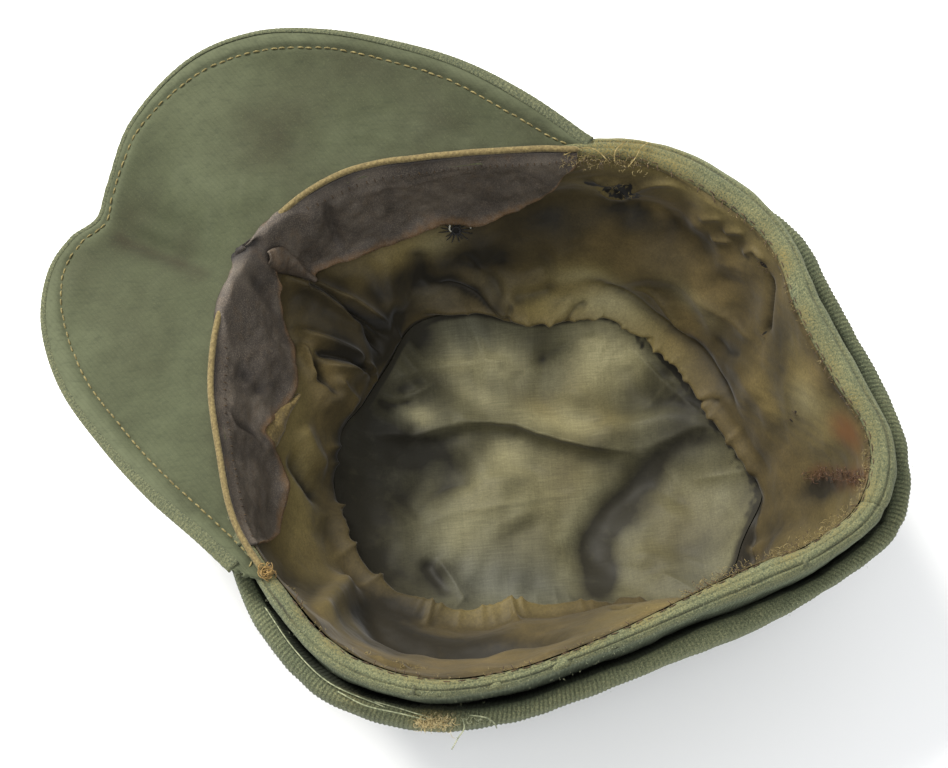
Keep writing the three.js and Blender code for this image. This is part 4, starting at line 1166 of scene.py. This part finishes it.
right = bell(disc_angle, -133, 34, 4)
ring = 0.965 - 0.035 * right * (0.8 + ripples(disc, 3, 78))
# Painted shade in the disc's hollows and in the crevice along its gathered edge.
masks["grime_and_shade"] += disc_crease_shade + 0.95 * ease((disc_share - ring) / 0.03)
# Painted shadow of the cap's front wall over the front of the disc, deepening towards its edge.
masks["grime_and_shade"] += 0.95 * ease((disc_share - 0.36) / 0.6) * bell(disc_angle, 29, 52, 4)
make("lining_disc_cloth", disc, DISC_SATIN, ["lining_top"], masks=masks)


# ---------------------------------------------------------------- the sweatband


# Creases of the leather: path as distances round and down it in turn, height, and width.
BAND_CREASES = (
    ((-37, 3, -36, 36), -1.6, 1.6), ((-41, 5, -40, 34), 1, 3), ((-32, 4, -30, 38), 1.2, 3),
    ((-55, 8, -52, 34), -0.8, 2), ((-70, 14, -64, 36), 0.8, 3), ((-84, 6, -60, 12, -40, 9), 0.5, 2),
    ((-8, 6, -7, 36), -1, 2), ((2, 10, 5, 36), 0.8, 3), ((16, 8, 20, 32), -1, 2.2),
    ((27, 6, 28, 30), 0.8, 3), ((33, 10, 33.5, 34), -1.4, 1.8), ((47, 6, 50, 34), 0.8, 3),
    ((-2, 20, 14, 24, 24, 18), 0.5, 3),
)
BAND_SLIT = (-7.5, 0.8, -9.6, 3.2, -13.8, 7, -18, 10)
BAND_TURNS = np.linspace(-75.4, 49.3, 340)


def sweatband():
    """Leather from under the piping down over the lining to its free edge: the lining's own curve moved
    in by the leather's distance from it, with upright creases, and at the front left a pleat that rolls
    out over the piping. Returns its points."""
    angle = BAND_TURNS[:, None]
    t = np.linspace(0, 1, 46)
    edge, off = (smooth(LEATHER_EDGE["angle"], LEATHER_EDGE[k], angle) for k in ("share", "off"))
    grid = polar(angle, *lining_point(angle, edge * t))
    n = normals(grid)
    u, v = 1.5 * angle + 0 * t, 40 * t + 0 * angle
    slit = crease(u, v, BAND_SLIT, -3, 1.5, sharp=True)
    creases = folds(u, v, BAND_CREASES)
    lift = creases + 0.7 * ripples(grid, 20, 71) * ease(t * 3) + 0.3 * ripples(grid, 6, 72)
    lift = (lift + 0.12 * ripples(grid, 2.5, 73)) * ease(t * 5)
    curl = 0.8 * t**6 * (0.5 + ripples(grid, 9, 74))
    mouth = 1.7 * np.exp(-np.abs(angle + 8.2 + 1.2 * (1 - t)) / 1.8) * ease(t * 6)
    mouth = mouth * ease((angle + 24) / 5) * ease((6 - angle) / 8)
    grid = grid + n * (0.3 + off * t**0.7 + lift + mouth + slit + curl)[..., None]
    seam, rim = around("seam", angle), around("rim", angle)
    first = int(np.searchsorted(t, 0.13))
    down = (t[:first] / t[first])[:, None]
    grid[:, :first] = rim_place(angle, -0.15, 0.4) * (1 - down) + grid[:, first : first + 1] * down
    out = np.concatenate([seam + 2.9, seam + 1.8, seam - 0.8, seam - 2.7], 1)
    up = np.concatenate([rim + 0.2, rim + 2.5, rim + 2.3, rim - 0.8], 1)
    weights = blend(np.array([0, 0.08, 0.2, 0.34]), t)
    rolled = polar(angle, out @ weights, up @ weights) + n * (slit + 0.3 * ripples(grid, 5, 79))[..., None]
    hold = (bell(angle, -6.5, 14, 6) * ease((0.36 - t) / 0.16))[..., None]
    grid = grid * (1 - hold) + rolled * hold
    rubbed = bell(t, 1, 0.075) + 0.2 * bell(t, 0, 0.0625) + 0.35 * mouth / 1.7
    # Painted shade in the creases' grooves and in the slit; the leather also darkens along its top.
    grime_and_shade = 0.5 * bell(t, 0, 0.0375) + 0.4 * ease(-creases / 1.2) - slit / 2.6
    masks = {
        "rubbed": rubbed + 0.2 * ease(ripples(grid, 14, 75) * 2 - 0.3),
        "grime_and_shade": grime_and_shade + 0.25 * ease(ripples(grid, 24, 76) * 1.5),
    }
    make("sweatband_leather", grid, LEATHER, ["sweatband"], masks=masks, wall=0.8)
    return grid


band = sweatband()


def turned_over(name, first, second, base, proud, material, rubbed):
    """Stretch of the leather's edge turned over on itself: ruled between two lines on the lining, given
    in degrees and shares, and arched between them by proud times sin(pi s) to the power 0.7."""
    near, far = (side_place(*rounded(path, 50).T)[:, None] for path in (first, second))
    s = np.linspace(0, 1, 13)[:, None]
    grid = near * (1 - s) + far * s
    inward = unit((0, 0, 60) - grid * (1, 1, 0))
    arch = base + proud * np.sin(np.pi * (0.08 + 0.92 * s)) ** 0.7 + 0.3 * ripples(grid, 5, 78)[..., None]
    masks = {"rubbed": rubbed, "grime_and_shade": 0.5 * s[:, 0] ** 3}
    make(name, grid + inward * arch, material, masks=masks, wall=0.7)


PLEAT = (
    [(-10.4, 0.02), (-12.2, 0.08), (-13.8, 0.18), (-14.8, 0.33), (-15.6, 0.5)],
    [(-9.2, 0.12), (-10.2, 0.24), (-12, 0.35), (-13.8, 0.44), (-15.4, 0.52)],
)
TURNED_EDGE = (
    [(8.8, 0.53), (13, 0.475), (18, 0.42), (21.4, 0.39), (24, 0.44)],
    [(9.2, 0.55), (14, 0.54), (19, 0.53), (23, 0.51), (24.6, 0.46)],
)
turned_over("sweatband_pleat", *PLEAT, 1.8, 2.4, LEATHER, 0.4)
turned_over("sweatband_turned_edge", *TURNED_EDGE, 1.5, 1.8, FLESH, 0)


def piping():
    """Piping along the peak's seam: a round cord, 1 mm in radius, that tapers at both ends and sinks
    under the sweatband's fold."""
    angle = np.linspace(-75.5, 54.5, 420)
    line = rim_place(angle, 0.9, 1 - 3 * bell(angle, -7.5, 5, 4))
    line = line + 0.25 * ripples(line, 16, 81)[:, None]
    along = unit(np.gradient(line, axis=0))
    across = unit(np.cross(along, UP))
    lift = np.cross(across, along)
    turn = np.linspace(0, 2 * np.pi, 13)[:, None]
    thick = np.sqrt(np.clip(38.1 * (1 - np.abs(angle + 10.5) / 65.6), 0.12, 1))[:, None, None]
    grid = line[:, None] + thick * (across[:, None] * np.cos(turn) + lift[:, None] * np.sin(turn))
    make("piping_cord", grid, CORD, ["piping"])


piping()


# ---------------------------------------------------------------- stitches, hems and loose threads


def ticks(name, first, last, radius_out, thick, skip):
    """Short stitches laid across the hem, 2.9 mm apart: each runs from 2.6 mm inside the seam to another
    radius, leaning a little, bowed up in the middle, and some are missing."""
    angle = np.linspace(first, last, int(np.radians(last - first) * 88 / 2.9))
    r = np.random.default_rng(int(first) + 720)
    angle = (angle + r.normal(0, 0.25, len(angle)))[r.uniform(size=len(angle)) > skip, None]
    t = np.linspace(0, 1, 6)
    radius = (radius_out + 2.6) * t - 2.6 + r.normal(0, 0.15, angle.shape)
    place = angle + r.normal(0.5, 0.35, angle.shape) * (t - 0.5)
    rise = 0.45 * np.sin(np.pi * t) - 1.1
    lines = rim_place(place, radius, rise)
    threads(name, lines, thick * (0.5 + 0.5 * np.sin(np.pi * t) ** 0.5), DARK_THREAD)


def overstitch():
    """Row of long felling stitches along the hem's outer side, end to end, with gaps where they broke."""
    angle = np.linspace(62, 286, 1800)
    path = rim_place(angle, 0.3 * ripples(polar(angle, 90, 0), 6, 99) - 0.5, -0.9)
    stitch_row("hem_felling", path, 2.6, 1.3, 0.17, DARK_THREAD, lift=0.25, sink=0.3)


def band_stitches():
    """Stitches that hold the leather under the piping: short upright ticks 2.6 mm apart along its top."""
    angle = np.arange(-74, 48, 1.6)
    angle = angle[(angle < -20) | (angle > 9)]
    i = np.interp(angle, BAND_TURNS, np.arange(len(BAND_TURNS))).astype(int)
    top, low = band[i, 5, None], band[i, 7, None]
    t = np.linspace(0, 1, 5)[:, None]
    lines = top * (1 - t) + low * t + unit(-top * (1, 1, 0)) * (0.3 * np.sin(np.pi * t))
    threads("sweatband_stitches", lines, 0.14, DARK_THREAD, 5)


ticks("hem_stitches_right", 58, 186, -0.9, 0.15, 0.6)
ticks("hem_stitches_left", 187, 272, -0.8, 0.17, 0.4)
overstitch()
band_stitches()


def fibres(name, slot, places, material, count, length, scatter, seed, thick, rise, aim=(0, 0, 0)):
    """Loose fibres: from a place picked at random and scattered a little, each leaves in a random way,
    turned upwards by rise and towards aim, and curls round over its length."""
    r = np.random.default_rng(seed)
    places = np.reshape(places, (-1, 3))
    first = places[r.integers(0, len(places), count)] + r.normal(0, scatter, (count, 3)) * (1, 1, 0.4)
    way = unit(r.normal(size=(count, 3)) + aim + rise * UP)
    across = unit(np.cross(way, r.normal(size=(count, 3))))
    reach = length * r.uniform(0.4, 1.2, (count, 1, 1)) * 0.5
    t = np.linspace(0, 1, 6)
    turn = r.uniform(1.2, 3.4, (count, 1, 1)) * t[:, None]
    lines = first[:, None] + reach * (way[:, None] * np.sin(turn) + across[:, None] * (1 - np.cos(turn)))
    taper = thick * r.uniform(0.7, 1.3, (count, 1)) * (1 - 0.6 * t)
    threads(name, lines, taper, material, 3)


def stray(name, place, paths, radius, material):
    """Long loose threads: a cubic through some places, given for each thread as rows of what the place
    function takes."""
    lines = [rounded(place(*np.reshape(path, (-1, 3)).T), 26) for path in paths]
    threads(name, np.stack(lines), radius, material)


def fold_place(angle, out=0.0, up=0.0):
    """Place on top of the turn-up's fold at an angle."""
    return polar(angle, fold_out(angle) - 2 + out, around("rim", angle) - fold_drop(angle) + up)


# Frayed cloth at the left end of the peak, round the torn holes, and along the hem at the back.
worn_end = [rim_place(np.linspace(270, 287, 12), out) for out in (-4, -2.5, -1)]
turn = np.linspace(0, 2 * np.pi, 14)
torn_hole = side_place(-86 + 2.2 * np.cos(turn), 0.28 + 0.042 * np.sin(turn))
small_holes = (-121.6, 0.13), (-122.6, 0.15), (-120.8, 0.15), (-131.6, 0.4), (-150.8, 0.41), (-151.8, 0.48)
small_holes = side_place(*np.transpose(small_holes))
rusty = side_place(np.linspace(-162.5, -168.5, 14), np.linspace(0.56, 0.04, 14))
ragged = side_place(np.linspace(-172, -188, 24), 0.3 + 0.22 * np.sin(np.arange(24) * 2.4))
back_hem = rim_place(np.linspace(150, 196, 40), -2.4, -1.4)
whole_hem = rim_place(np.linspace(60, 285, 150), -1.6, -1.2)
slit_lips = side_place(np.linspace(78, 89, 9), 0.2 + 0.03 * np.sin(np.arange(9)))
for name, *look in (
    ("peak_end", worn_end, FRAY, 150, 1.5, 0.8, 101, 0.09, 0.1),
    ("peak_end_dark", worn_end, DARK_THREAD, 70, 2, 0.9, 102, 0.11, 0.1),
    ("torn_hole", torn_hole, FRAY, 50, 1.8, 0.3, 103, 0.09, 0.1),
    ("small_holes", small_holes, DARK_THREAD, 50, 1.3, 0.5, 104, 0.08, 0.1),
    ("rusty_corner", rusty, RUST_THREAD, 240, 2.4, 1.2, 105, 0.12, 0.3),
    ("back_corner", ragged, FRAY, 240, 1.9, 2.0, 106, 0.09, 0.1),
    ("back_hem", back_hem, FRAY, 240, 2, 0.9, 107, 0.09, 0.2, (0, -0.4, 0)),
    ("back_hem_dark", back_hem, DARK_THREAD, 90, 1.8, 1.0, 108, 0.1, 0.1, (0, -0.5, 0)),
    ("hem", whole_hem, FRAY, 300, 1.1, 0.6, 109, 0.08, 0.2),
    ("slit", slit_lips, FRAY, 80, 1.8, 0.5, 110, 0.09, 0.2),
):
    fibres("fray_" + name, "lining_brown", *look)

# Tufts on the turn-up's fold.
tuft, green = fold_place(np.linspace(92, 97, 8), 0.8, 0.3), fold_place(np.linspace(96, 103, 6), 0.4, 0.2)
fibres("tuft_turn_up", "wool", tuft, PALE_FRAY, 260, 2.4, 0.9, 111, 0.09, 0.2)
fibres("tuft_turn_up_green", "wool", green, WOOL_FUZZ, 60, 2.4, 0.8, 112, 0.08, 0.2)

# Loose threads on the fold and at the peak's end: angle, millimetres out and up, in turn.
fold_strays = (
    (59, -2.4, 0.4, 68, -2.6, 0.6, 76, -2.2, 0.7, 86, -1.6, 0.6),
    (78, -1.2, 0.8, 83, -0.4, 1.4, 89, -0.6, 1.0, 93, 0.2, 0.8),
    (84, -2.4, 0.6, 88, -2.2, 0.5, 91, -1.4, 0.9, 94, -0.4, 0.6),
    (99, 0, 0.4, 99.6, 3, 1.0, 99, 5.5, 0.2, 98.4, 8.5, -1.4),
    (100, -1, 0.6, 103, 0.6, 1.4, 104.5, 2.4, 0.4, 105, 3.6, -1),
)
end_strays = (
    (287.5, -1, 0.6, 284, 1, 1.6, 281, 0.4, 1.8, 278, -2.6, 0.4),
    (273.5, -4, 0, 272.6, -1, 1.4, 272.2, 2, 2.6, 271.4, 4.4, 2.0),
    (276.5, -3, 0.6, 277, 0, 1.8, 276.2, 2.4, 2.2, 275.6, 3.6, 1.8),
)
stray("stray_threads", fold_place, fold_strays, 0.17, WOOL_FUZZ)
stray("stray_threads_end", rim_place, end_strays, 0.16, FRAY)

# Nap of the wool along the rim's roll, the turn-up's fold and the peak's edge.
roll, fold = rim_place(np.linspace(58, 285, 500), 3.4, 0.2), fold_place(np.linspace(4, 356, 600), 1.2, -0.6)
for name, *look in (
    ("fuzz_roll", roll, WOOL_FUZZ, 700, 0.8, 1.5, 121, 0.05, 0.5),
    ("fuzz_fold", fold, WOOL_FUZZ, 700, 0.8, 0.9, 122, 0.05, 0.2),
    ("fuzz_peak_edge", peak_edge(np.linspace(-74, 54, 500))[1], WOOL_FUZZ, 800, 0.7, 0.5, 123, 0.05, 0.2),
):
    fibres(name, "wool", *look)


def eyelet():
    """Worked eyelet in the lining: sixteen black stitches round a hole, of uneven length, a corded ring,
    and two pale threads caught in it."""
    centre = side_place(-48, 0.58)
    along = unit(side_place(-46.5, 0.58) - side_place(-49.5, 0.58))
    down = side_place(-48, 0.61) - side_place(-48, 0.55)
    down = unit(down - along * (down @ along))
    inward = np.cross(along, down)
    centre = centre + inward * 0.25

    def place(a, d, i):
        """Place by its distances along the rim, down the lining and inwards from the eyelet's middle."""
        return centre + along * a[..., None] + down * d[..., None] + inward * i[..., None]

    r = np.random.default_rng(131)
    turn = (np.linspace(0, 2 * np.pi, 16, endpoint=False) + r.normal(0, 0.07, 16))[:, None]
    t = np.linspace(0, 1, 6)
    reach = 1.2 + (r.uniform(3.6, 5.8, (16, 1)) - 1.2) * t
    lines = place(reach * np.cos(turn), reach * np.sin(turn), 0.35 * np.sin(np.pi * t))
    threads("eyelet_stitches", lines, 0.24 * (1 - 0.4 * t), BLACK_THREAD)
    turn = np.linspace(0, 2 * np.pi, 30)
    ring = place(1.25 * np.cos(turn), 1.25 * np.sin(turn), 0.2 + 0 * turn)
    threads("eyelet_ring", ring[None], 0.34, BLACK_THREAD)
    pale = (1.6, 0, 0.5, 2.0, -1, 0.9, 1.7, -2.2, 0.5), (-4.6, -0.4, 0.5, -5.0, -1.3, 0.8, -4.8, -2.4, 0.5)
    stray("eyelet_pale_threads", place, pale, 0.26, PALE_THREAD)


def piping_end():
    """End of the piping at the near side: its cloth unravelled into a small knot of tan threads."""
    r = np.random.default_rng(141)
    centre = rim_place(55.5, 0.6, 1.0) + r.normal(0, 0.7, (30, 1, 3))
    phase, size = r.uniform(0, 6.3, (30, 1)), r.uniform(0.4, 1.8, (30, 1, 1))
    t = np.linspace(0, 1, 9)
    way = np.stack([np.cos(phase + 4 * t), np.sin(phase + 4 * t), 0.5 * np.cos(2 * phase + 3 * t)], -1)
    threads("piping_end_knot", centre + way * size, 0.17, KNOT)


def button(node):
    """Small painted tack button: a shallow dished cap turned on its axis, with a rolled edge and a
    pebbled face."""
    low, high = (np.array(c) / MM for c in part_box(node))
    axis, across = polar(4, 1, 0), polar(94, 1, 0)
    radius = np.array([0.01, 2, 4, 5.2, 5.8, 6, 5.9, 5.5, 5, 4.7, 4.2, 3.2, 2.2, 1.2, 0.5, 0.01])[:, None]
    height = [-1.4] * 4 + [-1.2, -0.5, 0.3, 0.9, 1.05, 0.9, 0.6, 0.75, 0.95, 1.1, 1.15, 1.15]
    height = np.array(height)
    turn = np.linspace(0, 2 * np.pi, 64, endpoint=False)[:, None, None]
    grid = (low + high) / 2 + radius * (across * np.cos(turn) + UP * np.sin(turn)) + np.outer(height, axis)
    pebbles = 0.12 * ripples(grid, 1.2, 151) * ease((height - 0.4) * 4)
    faces = quads(64, 16, closed=True)
    make(node + "_cap", grid + axis * pebbles[..., None], BUTTON, [node], faces)


eyelet()
piping_end()
button("turn_up_button_upper")
button("turn_up_button_lower")


# ---------------------------------------------------------------- floor, lights and camera


def floor():
    """Large plain sheet of pale board under the cap."""
    corners = [(x, y, -0.05 * MM) for x in (-2.5, 2.5) for y in (-2.5, 2.5)]
    mesh = bpy.data.meshes.new("floor")
    mesh.from_pydata(corners, [], [(0, 2, 3, 1)])
    sheet = bpy.data.objects.new("floor", mesh)
    bpy.context.scene.collection.objects.link(sheet)
    board, _, cloud, grain = start("White card", [(300, 1), (1,)])
    colour = add(board, "ValToRGB", (cloud,), stops=[(0.3, "#f7f6f4"), (0.7, "#fbfaf9")])
    finish(board, colour, (), [(grain, 0.02, 0.2)], Roughness=0.7, Specular_IOR_Level=0.2)
    mesh.materials.append(board)


def lamp(name, place, size, power, colour):
    """Square soft light at a place, facing the cap, in millimetres."""
    light = bpy.data.lights.new(name, "AREA")
    light.shape = "SQUARE"
    light.size = size * MM
    light.energy = power
    light.color = linear(colour)[:3]
    holder = bpy.data.objects.new(name, light)
    bpy.context.scene.collection.objects.link(holder)
    holder.location = Vector(place) * MM
    holder.rotation_euler = (Vector((0, 0, 40)) - Vector(place)).to_track_quat("-Z", "Y").to_euler()


floor()
lamp("key", (-1000, -2200, 2400), 1500, 215, "#fffdf8")
lamp("fill", (900, 600, 2300), 1600, 22, "#f6f9ff")

sky = bpy.data.worlds.new("studio")
sky.use_nodes = True
sky.node_tree.nodes["Background"].inputs["Color"].default_value = linear("#f3f5f7")
sky.node_tree.nodes["Background"].inputs["Strength"].default_value = 0.86
bpy.context.scene.world = sky
bpy.context.scene.view_settings.view_transform = "Standard"

# The camera looks down at the target from the wearer's right and a little behind.
AZIMUTH, ELEVATION, DISTANCE, TARGET = 113, np.radians(70), 750, (-9, -25, 60)
lens = bpy.data.cameras.new("camera")
lens.sensor_width = 36
lens.lens = 93
lens.clip_start = 0.01
eye = bpy.data.objects.new("camera", lens)
bpy.context.scene.collection.objects.link(eye)
back = Vector(polar(AZIMUTH, np.cos(ELEVATION), np.sin(ELEVATION)))
eye.location = (Vector(TARGET) + DISTANCE * back) * MM
eye.rotation_euler = (-back).to_track_quat("-Z", "Y").to_euler()
bpy.context.scene.camera = eye
